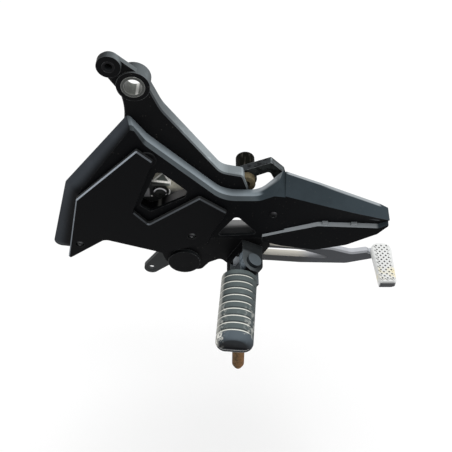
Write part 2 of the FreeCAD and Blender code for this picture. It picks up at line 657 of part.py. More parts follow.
def jaw_lead(wall):
    """Lower jaw behind the wedge's first station, where it runs out of the face, or its hollow."""
    jaw = COVER_OUT - WEDGE_JAW_PROUD
    ends = [(WEDGE_JAW_START, WEDGE_JAW_LEDGE, WEDGE_JAW_BELLY)]
    ends.append((WEDGE_STATIONS[0], WEDGE_LEDGE[0], WEDGE_BELLY[0]))
    wires = []
    for x, ledge, belly in ends:
        section = [
            (COVER_BACK, ledge), (COVER_OUT + WEDGE_RECESS[0], ledge), (jaw, ledge - WEDGE_LEDGE_DROP),
            (jaw, belly), (COVER_BACK, belly - WEDGE_BELLY_DRAFT),
        ]
        if wall:
            section = inset_section(section, [-wall, wall, wall, wall, -CUT_OVERRUN])
        wires.append(station_wire(section, x))
    return Part.makeLoft(wires, True, True)


def mouth_tabs():
    """Small tabs that stand on the lower jaw's ledge."""
    tabs = []
    for start in WEDGE_TABS:
        i = sum(1 for x in WEDGE_STATIONS if x <= start) - 1
        share = (start - WEDGE_STATIONS[i]) / (WEDGE_STATIONS[i + 1] - WEDGE_STATIONS[i])
        ledge = WEDGE_LEDGE[i] + share * (WEDGE_LEDGE[i + 1] - WEDGE_LEDGE[i])
        tabs.append(block(
            (start, COVER_OUT - WEDGE_JAW_PROUD / 2, ledge - WEDGE_LEDGE_DROP),
            (start + WEDGE_TAB_LENGTH, COVER_OUT + COVER_WALL, ledge + WEDGE_TAB_RISE)))
    return tabs


def outer_cover():
    """Moulded cover, open inboard: lip, face, bevelled band, front wedge and two windows."""
    middle = []
    for (x1, z1, r1), (x2, z2, r2), share in zip(COVER_RIM, COVER_FACE, COVER_SHARES):
        middle.append((x1 + share * (x2 - x1), z1 + share * (z2 - z1), r1 + share * (r2 - r1)))
    wires = [side_wire(COVER_FACE, COVER_OUT), side_wire(middle, COVER_BACK - COVER_BREAK)]
    wires.append(side_wire(COVER_RIM, COVER_BACK))
    shell = Part.makeLoft(wires, True, True)
    inner = side_wire(inset(COVER_FACE, COVER_SIDES), WEB_OUT)
    inner_rim = side_wire(inset(COVER_RIM, COVER_SIDES), COVER_BACK + CUT_OVERRUN)
    hollow = Part.makeLoft([inner, inner_rim], True, True)
    solid = fuse([shell, wedge(0), jaw_lead(0)] + mouth_tabs())
    solid = solid.cut([hollow, wedge(WEDGE_WALL), jaw_lead(WEDGE_WALL)])
    x, z = HEEL_SCREWS[0]
    solid = solid.fuse(drum(x, z, SCREW_BOSS_RADIUS, WEB_OUT - COVER_WALL / 2, COVER_BACK - FACE_GAP))
    cuts = []
    for outline in (WINDOW_UPPER, WINDOW_LOWER):
        cuts.append(prism(outline, COVER_OUT - CUT_OVERRUN, WEB_OUT + CUT_OVERRUN))
    holes = [(x, z, SCREW_RADIUS) for x, z in [COVER_SCREW] + HEEL_SCREWS]
    holes.append((*HEEL_REST, HEEL_SPIGOT_RADIUS))
    for x, z, radius in holes:
        cuts.append(drum(x, z, radius + HOLE_CLEARANCE, COVER_OUT - CUT_OVERRUN, COVER_BACK + CUT_OVERRUN))
    return solid.cut(cuts).removeSplitter()


def heel_plate():
    """Raised plate on two pads with sunk screw heads and a round rest with a spigot into the cover."""
    plate = bevelled(HEEL_OUTLINE, HEEL_OUT, HEEL_IN, HEEL_BEVEL)
    pads = [drum(x, z, HEEL_PAD_RADIUS, HEEL_IN, COVER_OUT) for x, z in HEEL_SCREWS]
    pads.append(drum(*HEEL_REST, HEEL_REST_RADIUS, HEEL_IN, COVER_OUT))
    pads.append(drum(*HEEL_REST, HEEL_SPIGOT_RADIUS, HEEL_IN, WEB_OUT - FACE_GAP))
    cuts = []
    sunk = HEEL_OUT + SCREW_HEAD_HEIGHT
    hole = SCREW_RADIUS + HOLE_CLEARANCE
    for x, z in HEEL_SCREWS:
        cuts.append(drum(x, z, hole, HEEL_OUT - CUT_OVERRUN, COVER_OUT + CUT_OVERRUN))
        cuts.append(drum(x, z, SCREW_HEAD_RADIUS + FACE_GAP, HEEL_OUT - CUT_OVERRUN, sunk))
    return fuse([plate] + pads).cut(cuts)


def small_screw(x, z, seat, reach):
    """Domed socket screw of the size that the cover, heel plate and bracket share."""
    return dome_screw(x, z, seat, SCREW_HEAD_RADIUS, SCREW_HEAD_HEIGHT, SCREW_RADIUS, reach, SOCKET_RADIUS)


def cover_screw():
    """Screw through the cover's front into the web."""
    return small_screw(*COVER_SCREW, COVER_OUT, COVER_WALL + SCREW_REACH)


def heel_plate_screws():
    """Two screws through heel plate and cover."""
    seat = HEEL_OUT + SCREW_HEAD_HEIGHT
    reach = COVER_OUT - seat + COVER_WALL + SCREW_REACH / 2
    return Part.makeCompound([small_screw(x, z, seat, reach) for x, z in HEEL_SCREWS])


def cylinder_bracket():
    """Plated steel plate on the web's inboard face, with a sloped lip in the upper window."""
    plate = prism(BRACKET_OUTLINE, WEB_IN, BRACKET_IN)
    reach = WEB_IN - LIP_REACH
    low = LIP_TOP - LIP_DROP
    section = [(WEB_IN, LIP_TOP), (reach, low), (reach, low - LIP_EDGE), (WEB_IN, low - LIP_EDGE)]
    section.append(section[0])
    side = Part.Face(Part.makePolygon([Vector(LIP_START, y, z) for y, z in section]))
    lip = side.extrude(Vector(LIP_END - LIP_START, 0, 0))
    holes = [(x, z, SCREW_RADIUS) for x, z in BRACKET_SCREWS] + [(DOME_X, DOME_Z, DOME_SHANK_RADIUS)]
    cuts = []
    for x, z, radius in holes:
        cuts.append(drum(x, z, radius + HOLE_CLEARANCE, WEB_IN - CUT_OVERRUN, BRACKET_IN + CUT_OVERRUN))
    return fuse([plate, lip]).cut(cuts)


def bracket_screws():
    """Two screws from inboard that hold the bracket to the web."""
    screws = []
    for x, z in BRACKET_SCREWS:
        screw = small_screw(0, 0, 0, BRACKET_DEPTH + BRACKET_SCREW_REACH - FACE_GAP)
        turn = FreeCAD.Placement(Vector(x, BRACKET_IN, z), FreeCAD.Rotation(Vector(0, 0, 1), 180))
        screws.append(placed(screw, turn))
    return Part.makeCompound(screws)


def dome_bolt():
    """Domed bolt through the bracket, its head in the window."""
    return dome_screw(
        DOME_X, DOME_Z, WEB_IN, DOME_RADIUS, DOME_HEIGHT, DOME_SHANK_RADIUS, DOME_REACH, SOCKET_RADIUS)


def dome_bolt_nut():
    """Nut of the domed bolt."""
    nut = hexagon(DOME_NUT_RADIUS, 0, DOME_NUT_DEPTH).cut(
        rod(DOME_SHANK_RADIUS + RUN_CLEARANCE, -CUT_OVERRUN, DOME_NUT_DEPTH + CUT_OVERRUN))
    return placed(nut, inward(DOME_X, BRACKET_IN, DOME_Z))


# Peg

def ring(outer, inner, low, high):
    """Ring along a local Z."""
    return rod(outer, low, high).cut(rod(inner, low - CUT_OVERRUN, high + CUT_OVERRUN))


def peg_pin():
    """Hinge pin with a flat round head and a groove for its clip."""
    washer_low = -EAR_OUT - WASHER_DEPTH
    clip_low = washer_low - CLIP_DEPTH
    shank = rod(PEG_PIN_RADIUS, clip_low - PEG_PIN_TAIL, EAR_OUT)
    head = rod(PEG_PIN_HEAD_RADIUS, EAR_OUT, EAR_OUT + PEG_PIN_HEAD_DEPTH)
    groove = ring(PEG_PIN_RADIUS + CUT_OVERRUN, PEG_PIN_RADIUS - CLIP_GROOVE, clip_low, washer_low)
    return placed(fuse([shank, head]).cut(groove), HINGE_PLACE)


def peg_pin_washer():
    """Washer under the lower ear."""
    inner = PEG_PIN_RADIUS + HOLE_CLEARANCE
    return placed(ring(inner + WASHER_OVERHANG, inner, -EAR_OUT - WASHER_DEPTH, -EAR_OUT), HINGE_PLACE)


def split_clip(radius, low, high):
    """Retaining clip in a groove, open on one side."""
    inner = radius - CLIP_GROOVE
    clip = ring(radius + CLIP_OVERHANG, inner, low, high)
    reach = radius + 2 * CLIP_OVERHANG
    return clip.cut(block((0, -inner / 2, low - CUT_OVERRUN), (reach, inner / 2, high + CUT_OVERRUN)))


def peg_pin_clip():
    """Clip below the washer."""
    high = -EAR_OUT - WASHER_DEPTH
    return placed(split_clip(PEG_PIN_RADIUS, high - CLIP_DEPTH, high), HINGE_PLACE)


def bent_wire(points, radius):
    """Solid wire along a line of points, with an even-sided section that turns with the line."""
    steps = [(after - before).normalize() for before, after in zip(points, points[1:])]
    tangents = [steps[0]] + [(one + two).normalize() for one, two in zip(steps, steps[1:])] + [steps[-1]]
    side = tangents[0].cross(Vector(1, 1, 1)).normalize()
    sections = []
    for point, tangent in zip(points, tangents):
        side = (side - tangent * side.dot(tangent)).normalize()
        up = tangent.cross(side)
        ring_points = []
        for i in range(WIRE_SIDES + 1):
            angle = 2 * math.pi * (i % WIRE_SIDES) / WIRE_SIDES
            ring_points.append(point + side * (radius * math.cos(angle)) + up * (radius * math.sin(angle)))
        sections.append(Part.makePolygon(ring_points))
    return Part.makeLoft(sections, True, True)


def turn(centre, along, across, radius, start, end, rise=Vector(0, 0, 0)):
    """Points of an arc or helix about a centre, from one angle to another in degrees."""
    count = max(2, round(abs(end - start) / WIRE_STEP))
    points = []
    for i in range(count + 1):
        angle = math.radians(start + (end - start) * i / count)
        spoke = along * (radius * math.cos(angle)) + across * (radius * math.sin(angle))
        points.append(centre + spoke + rise * (i / count))
    return points


def peg_spring():
    """Torsion spring round the pin, under the tongue: one leg to the block, one to the peg."""
    low = Vector(0, 0, -EAR_IN + FACE_GAP / 2 + PEG_SPRING_WIRE)
    rise = Vector(0, 0, PEG_SPRING_PITCH * PEG_SPRING_TURNS)
    side = low + Vector(0, PEG_COIL_RADIUS, 0)
    points = [side - Vector(TONGUE_RADIUS + CLEVIS_CLEARANCE - FACE_GAP - PEG_SPRING_WIRE, 0, 0)]
    points += turn(
        low, Vector(1, 0, 0), Vector(0, 1, 0), PEG_COIL_RADIUS, 90, 90 - 360 * PEG_SPRING_TURNS, rise)
    points.append(side + rise + Vector(PEG_SPRING_LEG, 0, 0))
    return placed(bent_wire(points, PEG_SPRING_WIRE), HINGE_PLACE)


def peg_section(x, cutback):
    """Wire of the rubber's section at a local station, cut back all round: flat below, crowned above."""
    half = PEG_WIDTH / 2 - cutback
    share = half / (PEG_WIDTH / 2)
    shoulder = PEG_FLOOR + PEG_SHOULDER - cutback
    return rounded_wire([
        (Vector(x, -half, PEG_FLOOR), PEG_FOOT_RADIUS),
        (Vector(x, -half, shoulder), PEG_SHOULDER_RADIUS * share),
        (Vector(x, 0, shoulder + PEG_CROWN * share), PEG_CROWN_RADIUS * share),
        (Vector(x, half, shoulder), PEG_SHOULDER_RADIUS * share),
        (Vector(x, half, PEG_FLOOR), PEG_FOOT_RADIUS),
    ])


def peg_bar(start, end, cutback):
    """Length of the rubber's section, cut back all round."""
    return Part.Face(peg_section(start, cutback)).extrude(Vector(end - start, 0, 0))


def peg_groove(start):
    """Groove across the rubber's top and over its shoulders."""
    end = start + GROOVE_WIDTH
    hoop = peg_bar(start, end, -CUT_OVERRUN)
    hoop = hoop.cut(peg_bar(start - CUT_OVERRUN, end + CUT_OVERRUN, GROOVE_DEPTH))
    half = PEG_WIDTH / 2 + 2 * CUT_OVERRUN
    top = PEG_FLOOR + PEG_SHOULDER + PEG_CROWN + 2 * CUT_OVERRUN
    return hoop.common(block((start, -half, PEG_FLOOR + GROOVE_FLOOR), (end, half, top)))


def peg_rubber():
    """Grooved rubber over the core's beam, with a rounded outer end."""
    round_start = PEG_END - PEG_END_ROUND
    body = peg_bar(PEG_START, round_start, 0)
    wires = []
    for along, cutback in PEG_END_STEPS:
        wires.append(peg_section(round_start + along * PEG_END_ROUND, cutback * PEG_END_ROUND))
    cap = Part.makeLoft(wires, True, True)
    half = PEG_BEAM_WIDTH / 2 + FACE_GAP
    cavity = block((PEG_START - CUT_OVERRUN, -half, PEG_FLOOR - CUT_OVERRUN),
                   (PEG_END - PEG_BEAM_SHORT + FACE_GAP, half, PEG_FLOOR + PEG_BEAM_RISE + FACE_GAP))
    cuts = [cavity]
    for i in range(GROOVE_COUNT):
        cuts.append(peg_groove(PEG_START + GROOVE_FIRST + i * GROOVE_PITCH - GROOVE_WIDTH / 2))
    rubber = placed(fuse([body, cap]).cut(cuts), PEG_PLACE)
    side = TONGUE_RADIUS + FACE_GAP
    rise = TONGUE_DEPTH / 2 + FACE_GAP
    neck = block((0, -side, -rise), (TONGUE_REACH + FACE_GAP, side, rise))
    return rubber.cut(placed(neck, HINGE_PLACE))


def peg_core():
    """Tongue, neck, beam inside the rubber and base plate under it."""
    top = TONGUE_DEPTH / 2
    low = -top + PEG_COIL_SPACE
    eye = rod(TONGUE_RADIUS, low, top)
    tongue = block((0, -TONGUE_RADIUS, low), (TONGUE_REACH, TONGUE_RADIUS, top))
    neck = block((PEG_SPRING_LEG + FACE_GAP, -TONGUE_RADIUS, -top), (TONGUE_REACH, TONGUE_RADIUS, top))
    tilted = placed(fuse([eye, tongue, neck]), HINGE_PLACE)
    half = PEG_BEAM_WIDTH / 2
    beam = block((PEG_START, -half, PEG_BASE), (PEG_END - PEG_BEAM_SHORT, half, PEG_FLOOR + PEG_BEAM_RISE))
    side = PEG_WIDTH / 2 - FACE_GAP
    end = PEG_END + PEG_BASE_LIP
    corners = [
        (Vector(PEG_START, -side, PEG_BASE), PEG_BASE_HEEL), (Vector(end, -side, PEG_BASE), PEG_BASE_CORNER),
        (Vector(end, side, PEG_BASE), PEG_BASE_CORNER), (Vector(PEG_START, side, PEG_BASE), PEG_BASE_HEEL),
    ]
    base = Part.Face(rounded_wire(corners)).extrude(Vector(0, 0, PEG_BASE_DEPTH))
    straight = placed(fuse([beam, base]), PEG_PLACE)
    pin_hole = placed(rod(PEG_PIN_RADIUS + RUN_CLEARANCE, -EAR_OUT, EAR_OUT), HINGE_PLACE)
    stud_hole = rod(FEELER_STUD_RADIUS, PEG_BASE - CUT_OVERRUN, PEG_FLOOR + PEG_BEAM_RISE - CUT_OVERRUN)
    stud_hole.translate(FEELER_PLACE)
    return fuse([tilted, straight]).cut([pin_hole, placed(stud_hole, PEG_PLACE)])


def peg_feeler():
    """Stud under the peg's tip, with a tapered end."""
    low = PEG_BASE - FEELER_LENGTH
    shoulder = PEG_BASE - FEELER_NUT_DEPTH
    stud = rod(FEELER_STUD_RADIUS, shoulder, PEG_FLOOR + PEG_BEAM_RISE - 2 * CUT_OVERRUN)
    body = rod(FEELER_RADIUS, low + FEELER_TIP, shoulder)
    tip = Part.makeCone(FEELER_TIP_RADIUS, FEELER_RADIUS, FEELER_TIP, Vector(0, 0, low))
    feeler = fuse([stud, body, tip])
    feeler.translate(FEELER_PLACE)
    return placed(feeler, PEG_PLACE)


def feeler_nut():
    """Nut that locks the stud to the base plate."""
    nut = hexagon(FEELER_NUT_RADIUS, PEG_BASE - FEELER_NUT_DEPTH, PEG_BASE)
    nut = nut.cut(rod(FEELER_STUD_RADIUS, PEG_BASE - FEELER_NUT_DEPTH - CUT_OVERRUN, PEG_BASE + CUT_OVERRUN))
    nut.translate(FEELER_PLACE)
    return placed(nut, PEG_PLACE)


# Pedal

def from_pivot(outline):
    """Outline given from the pivot, moved to its place."""
    return [(PIVOT_X + x, PIVOT_Z + z, radius) for x, z, radius in outline]


def pivot_shaft():
    """Axle pressed into the web's boss, with a groove for its clip."""
    near = WEB_OUT - PIVOT_BOSS_PROUD + PIVOT_BOSS_FLOOR
    clip = HUB_IN + FACE_GAP + WASHER_DEPTH
    shaft = rod(PIVOT_RADIUS, near, clip + CLIP_DEPTH + PIVOT_TAIL)
    groove = ring(PIVOT_RADIUS + CUT_OVERRUN, PIVOT_RADIUS - CLIP_GROOVE, clip, clip + CLIP_DEPTH)
    return placed(shaft.cut(groove), inward(PIVOT_X, 0, PIVOT_Z))


def pivot_washer():
    """Washer at the hub's inboard end."""
    inner = PIVOT_RADIUS + HOLE_CLEARANCE
    low = HUB_IN + FACE_GAP
    return placed(ring(inner + WASHER_OVERHANG, inner, low, low + WASHER_DEPTH), inward(PIVOT_X, 0, PIVOT_Z))


def pivot_clip():
    """Clip on the axle's end."""
    low = HUB_IN + FACE_GAP + WASHER_DEPTH
    return placed(split_clip(PIVOT_RADIUS, low, low + CLIP_DEPTH), inward(PIVOT_X, 0, PIVOT_Z))


def pedal_hub():
    """Tube that carries arm and lever."""
    return drum(PIVOT_X, PIVOT_Z, HUB_RADIUS, HUB_OUT, HUB_IN).cut(
        drum(PIVOT_X, PIVOT_Z, HUB_BORE_RADIUS, HUB_OUT - CUT_OVERRUN, HUB_IN + CUT_OVERRUN))


def pedal_bushes():
    """Bronze bush in each end of the hub."""
    bushes = []
    inner = PIVOT_RADIUS + RUN_CLEARANCE
    for near in (HUB_OUT, HUB_IN - PEDAL_BUSH_DEPTH):
        bush = ring(HUB_BORE_RADIUS, inner, near, near + PEDAL_BUSH_DEPTH)
        bushes.append(placed(bush, inward(PIVOT_X, 0, PIVOT_Z)))
    return Part.makeCompound(bushes)


def pad_place():
    """Low corner of the pad, which lies outboard of the arm on the carrier."""
    top = PIVOT_Z + PEDAL_OUTLINE[7][1]
    return Vector(PIVOT_X + PAD_START, PEDAL_IN - PAD_OVERHANG - PAD_LENGTH, top)


def pad_bolt_places():
    """Centres of the pad's bolts, at the pad's underside."""
    low = pad_place()
    x = low.x + PAD_WIDTH / 2
    levels = (low.y + PAD_BOLT_INSET + CARRIER_SHORT, PEDAL_OUT - PAD_BOLT_INSET / 2)
    return [Vector(x, y, low.z) for y in levels]


def pedal_arm():
    """Flat arm with an eye round the hub, a tapered slot and the carrier of the pad."""
    outline = from_pivot(PEDAL_OUTLINE)
    bevel = inset(outline, PEDAL_BEVEL)
    wires = [side_wire(bevel, PEDAL_OUT), side_wire(outline, PEDAL_OUT + PEDAL_BEVEL)]
    wires += [side_wire(outline, PEDAL_IN - PEDAL_BEVEL), side_wire(bevel, PEDAL_IN)]
    both = Part.makeLoft(wires, True, True)
    eye = drum(PIVOT_X, PIVOT_Z, PEDAL_EYE_RADIUS, PEDAL_OUT, PEDAL_IN)
    low = pad_place()
    side = low.x + (PAD_WIDTH - CARRIER_WIDTH) / 2
    carrier = block(
        (side, low.y + CARRIER_SHORT, low.z - CARRIER_DEPTH),
        (side + CARRIER_WIDTH, PEDAL_IN - PEDAL_BEVEL, low.z))
    cuts = [prism(from_pivot(PEDAL_SLOT), PEDAL_OUT - CUT_OVERRUN, PEDAL_IN + CUT_OVERRUN)]
    cuts.append(drum(PIVOT_X, PIVOT_Z, HUB_RADIUS, PEDAL_OUT - CUT_OVERRUN, PEDAL_IN + CUT_OVERRUN))
    cuts.append(drum(SPRING_X, SPRING_BOTTOM_Z, PIN_RADIUS, PEDAL_IN - PIN_BITE, PEDAL_IN + CUT_OVERRUN))
    for point in pad_bolt_places():
        hole = rod(PAD_BOLT_RADIUS + HOLE_CLEARANCE, -CARRIER_DEPTH - CUT_OVERRUN, CUT_OVERRUN)
        hole.translate(point)
        cuts.append(hole)
    return fuse([both, eye, carrier]).cut(cuts)


def rod_lever():
    """Lever on the hub, with the push-rod eye at its tip."""
    angle = math.radians(LEVER_ANGLE)
    tip = (PIVOT_X + LEVER_LENGTH * math.cos(angle), PIVOT_Z + LEVER_LENGTH * math.sin(angle))
    lever = strap((PIVOT_X, PIVOT_Z), LEVER_EYE_RADIUS, tip, LEVER_TIP_RADIUS, PEDAL_IN, LEVER_IN)
    return lever.cut([
        drum(PIVOT_X, PIVOT_Z, HUB_RADIUS, PEDAL_IN - CUT_OVERRUN, LEVER_IN + CUT_OVERRUN),
        drum(*tip, LEVER_HOLE_RADIUS, PEDAL_IN - CUT_OVERRUN, LEVER_IN + CUT_OVERRUN)])


def pedal_pad():
    """Tread of the pedal."""
    low = pad_place()
    outline = [
        (0, 0, PAD_CORNER), (PAD_WIDTH, 0, PAD_CORNER), (PAD_WIDTH + PAD_SPLAY, PAD_LENGTH, PAD_HEEL_CORNER),
        (-PAD_SPLAY, PAD_LENGTH, PAD_HEEL_CORNER),
    ]
    wires = []
    for height, back in ((0, 0), (PAD_DEPTH - PAD_BEVEL, 0), (PAD_DEPTH, PAD_BEVEL)):
        level = [(low + Vector(x, y, height), radius) for x, y, radius in inset(outline, back)]
        wires.append(rounded_wire(level))
    pad = Part.makeLoft(wires, True, True)
    holes = []
    for point in pad_bolt_places():
        hole = rod(PAD_BOLT_RADIUS, -CUT_OVERRUN, PAD_BOLT_BITE)
        hole.translate(point)
        holes.append(hole)
    return pad.cut(holes)


def pad_bolts():
    """Bolts from below through the carrier into the pad."""
    bolts = []
    for point in pad_bolt_places():
        shank = rod(PAD_BOLT_RADIUS, -CARRIER_DEPTH, PAD_BOLT_BITE)
        head = hexagon(PAD_BOLT_HEAD_RADIUS, -CARRIER_DEPTH - PAD_BOLT_HEAD_DEPTH, -CARRIER_DEPTH)
        bolt = fuse([shank, head])
        bolt.translate(point)
        bolts.append(bolt)
    return Part.makeCompound(bolts)


def headed_pin(x, z, seat):
    """Pin pressed into a face, with a head that keeps a spring hook on it."""
    end = SPRING_Y + SPRING_WIRE + FACE_GAP
    return fuse([
        drum(x, z, PIN_RADIUS, seat - PIN_BITE, end), drum(x, z, PIN_HEAD_RADIUS, end, end + PIN_HEAD_DEPTH)])


def spring_post():
    """Pin on the web for the return spring's upper hook."""
    return headed_pin(SPRING_X, SPRING_TOP_Z, WEB_IN)


def spring_pin():
    """Pin on the pedal for the return spring's lower hook."""
    return headed_pin(SPRING_X, SPRING_BOTTOM_Z, PEDAL_IN)


def return_spring():
    """Extension spring with a hook at each end, made of one wire."""
    east, inboard, up = Vector(1, 0, 0), Vector(0, 1, 0), Vector(0, 0, 1)
    top = Vector(SPRING_X, SPRING_Y, SPRING_TOP_Z)
    bottom = Vector(SPRING_X, SPRING_Y, SPRING_BOTTOM_Z)
    coil_top = top - up * SPRING_HOOK_LEG
    fall = bottom + up * SPRING_HOOK_LEG - coil_top
    points = turn(top, east, up, COIL_RADIUS, 270, 0)
    points += turn(coil_top, east, inboard, COIL_RADIUS, 0, 360 * SPRING_TURNS, fall)
    points += turn(bottom, east, up, COIL_RADIUS, 0, -270)
    return bent_wire(points, SPRING_WIRE)


def pedal_top_at(x):
    """Height of the arm's upper edge near its root."""
    (x1, z1, r1), (x2, z2, r2) = from_pivot(PEDAL_OUTLINE)[:2]
    return z1 + (z2 - z1) * (x - x1) / (x2 - x1)


def stop_place(z):
    """Point on the stop bolt's axis."""
    return FreeCAD.Placement(Vector(STOP_X, (PEDAL_OUT + PEDAL_IN) / 2, z), FreeCAD.Rotation())


def stop_bolt():
    """Bolt whose end stops the pedal's arm."""
    seat = STOP_LUG_TOP + STOP_NUT_DEPTH
    tip = pedal_top_at(STOP_X - STOP_RADIUS) + FACE_GAP
    shank = rod(STOP_RADIUS, tip - seat, 0)
    return placed(fuse([shank, hexagon(STOP_HEAD_RADIUS, 0, STOP_HEAD_DEPTH)]), stop_place(seat))


def stop_nut():
    """Lock nut of the stop bolt."""
    nut = hexagon(STOP_HEAD_RADIUS, 0, STOP_NUT_DEPTH)
    nut = nut.cut(rod(STOP_RADIUS, -CUT_OVERRUN, STOP_NUT_DEPTH + CUT_OVERRUN))
    return placed(nut, stop_place(STOP_LUG_TOP))


PIECES = [
    hanger_casting, upper_bush, eye_bush, lug_bush, lug_collar, outer_cover, heel_plate, cover_screw,
    heel_plate_screws, cylinder_bracket, bracket_screws, dome_bolt, dome_bolt_nut, peg_pin, peg_pin_washer,
    peg_pin_clip, peg_spring, pivot_shaft, pivot_washer, pivot_clip, spring_post, return_spring, stop_bolt,
    stop_nut, peg_core, peg_rubber, peg_feeler, feeler_nut, pedal_arm, pedal_hub, pedal_bushes, rod_lever,
    pedal_pad, pad_bolts, spring_pin,
]

os.makedirs("parts", exist_ok=True)
for piece in PIECES:
    shape = piece()
    shape.exportStep("parts/" + piece.__name__ + ".step")
    print(piece.__name__, len(shape.Solids), "solid(s)", shape.isValid(), round(shape.Volume))
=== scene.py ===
"""Finishes, tread and studio stage for a motorcycle footrest hanger with a folding peg and a brake pedal."""

import math

import bmesh
import bpy
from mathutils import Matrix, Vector


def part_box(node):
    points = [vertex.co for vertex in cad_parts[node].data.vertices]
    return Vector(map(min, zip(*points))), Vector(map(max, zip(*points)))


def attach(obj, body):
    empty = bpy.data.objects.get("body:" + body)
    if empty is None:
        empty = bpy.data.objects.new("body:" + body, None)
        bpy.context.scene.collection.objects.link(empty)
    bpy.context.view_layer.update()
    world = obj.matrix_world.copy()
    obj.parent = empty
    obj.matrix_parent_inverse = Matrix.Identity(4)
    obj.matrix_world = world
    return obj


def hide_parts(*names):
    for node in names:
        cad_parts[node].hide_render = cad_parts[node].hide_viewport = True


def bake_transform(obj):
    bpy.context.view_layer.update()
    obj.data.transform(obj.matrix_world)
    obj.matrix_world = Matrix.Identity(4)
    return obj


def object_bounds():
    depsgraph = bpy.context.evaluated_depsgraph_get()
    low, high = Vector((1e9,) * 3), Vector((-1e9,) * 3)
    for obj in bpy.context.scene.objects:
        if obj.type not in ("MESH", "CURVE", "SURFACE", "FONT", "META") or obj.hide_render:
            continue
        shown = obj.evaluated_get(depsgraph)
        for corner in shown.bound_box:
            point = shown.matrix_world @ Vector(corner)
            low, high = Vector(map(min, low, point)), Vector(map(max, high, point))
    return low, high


bl_info = {
    "name": "Footrest hanger looks",
    "version": (1, 0, 0),
    "blender": (4, 5, 0),
    "location": "View3D > Sidebar > Hanger",
    "description": "Finishes, tread and studio stage for a motorcycle footrest hanger",
    "category": "Object",
}

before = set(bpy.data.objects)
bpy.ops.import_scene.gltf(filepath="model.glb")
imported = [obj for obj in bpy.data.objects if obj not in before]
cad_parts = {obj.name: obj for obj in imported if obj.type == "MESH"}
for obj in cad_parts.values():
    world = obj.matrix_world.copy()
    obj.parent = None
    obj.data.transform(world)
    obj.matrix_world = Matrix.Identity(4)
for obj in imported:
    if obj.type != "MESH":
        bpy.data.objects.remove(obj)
CAD_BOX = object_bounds()

# Peg: a point on its middle line at the hinge, sweep and grooves, as in the solid part
PEG_HINGE = Vector((0.087, -0.0455, -0.1945))
PEG_SWEEP = math.radians(4.3)
PEG_AXIS = Vector((-math.sin(PEG_SWEEP), -math.cos(PEG_SWEEP), 0))
PEG_SIDE = Vector((math.cos(PEG_SWEEP), -math.sin(PEG_SWEEP), 0))
PEG_START = 0.0125
PEG_END = 0.0898
GROOVE_FIRST = 0.0189
GROOVE_PITCH = 0.00755
GROOVE_COUNT = 9
GROOVE_HALF_WIDTH = 0.0011
GROOVE_DEPTH = 0.0009

# Rubber: half width, rounding of its heel and outer end, share of that rounding on top, fullness of its
# section (1 is round), and how soon its grooves run out at the sides
RUBBER_HALF_WIDTH = 0.017
RUBBER_HEEL = 0.0015
RUBBER_ROUND = 0.006
RUBBER_TOP_SHARE = 0.35
RUBBER_FULLNESS = 0.92
GROOVE_RUN_OUT = 0.2
GROOVE_RUN_IN = 4

# Rubber's mesh: step along it, points round its back, and steps of its two rounded ends
RUBBER_STEP = 0.0006
RUBBER_SIDES = 48
HEEL_STEPS = 4
ROUND_STEPS = 8

# Camera, as the picture was taken
CAMERA_PLACE = Vector((0.07326, -0.4376, 0.3067))
CAMERA_ELEVATION = math.radians(48)
CAMERA_SENSOR = 36.0
CAMERA_LENS = 51.77
CAMERA_REACH = 50.0

# Studio: half the floor's width, the overhead light, and the level of light from the surroundings
FLOOR_HALF = 6.0
SUN_STRENGTH = 1.75
SUN_SPREAD = math.radians(60)
SUN_TURN = (math.radians(-14), math.radians(10), 0)
WORLD_LEVEL = 0.55

# Axes across the machine, of the domed bolt and of the marks round it: painted highlights and glints on the
# dome and the bracket, and the sill's smudge
DOME_PLACE = Vector((0.0125, 0.0, -0.1195))
DOME_GLINT = Vector((0.0179, 0.0, -0.1209))
BRACKET_GLINT = Vector((0.0039, 0.0, -0.126))
SILL_SMUDGE = Vector((0.0115, 0.0, -0.13))

# Lines on the bracket's lip, each a point on it and the direction in which distance from it counts
LIP_LINES = {
    "front": ((0.0166, -0.0122, 0.0), (0.747, 0.664, 0.0)),
    "rear": ((0.0116, -0.0147, 0.0), (-0.52, 0.854, 0.0)),
    "fold": ((0.0131, -0.0167, 0.0), (0.09, 1.0, 0.0)),
}

# Tread: shares of a cell taken by its pit and of the pit by its floor, and the mark on the faces of the pits
PIT_SHARE = 0.48
PIT_FLOOR_SHARE = 0.6
PIT_MARK = "pit"

# Distances below which points are one, in the tread and in a mesh from the solid part
TREAD_WELD = 1e-5
NODE_WELD = 1e-6

# Angle past which a mesh has a sharp edge
SHARP_ANGLE = math.radians(40)

# Tones of small places on the casting and the heel plate, as linear red, green and blue
LUG_FACE = (0.03, 0.034, 0.034)
# Painted shade and painted light on the shelf seen through the lower window
SHELF_SHADE = (0.03, 0.031, 0.033)
SHELF_LIT = (0.36, 0.36, 0.36)
# Painted sky light on the upper window's sill
SILL_LIT = (0.32, 0.315, 0.325)
SMUDGE = (0.2, 0.2, 0.185)
# Painted light on the clevis recess's back wall, which lies in shade
RECESS_LIT = (0.5, 0.54, 0.58)
# Painted sheen in streaks on the clevis ear's rearward flank
FLANK_SHADE = (0.09, 0.115, 0.135)
FLANK_SHEEN = (0.24, 0.285, 0.325)
# Painted highlight on the heel plate's upper bevels
PLATE_BEVEL_HIGHLIGHT = (0.37, 0.41, 0.46)

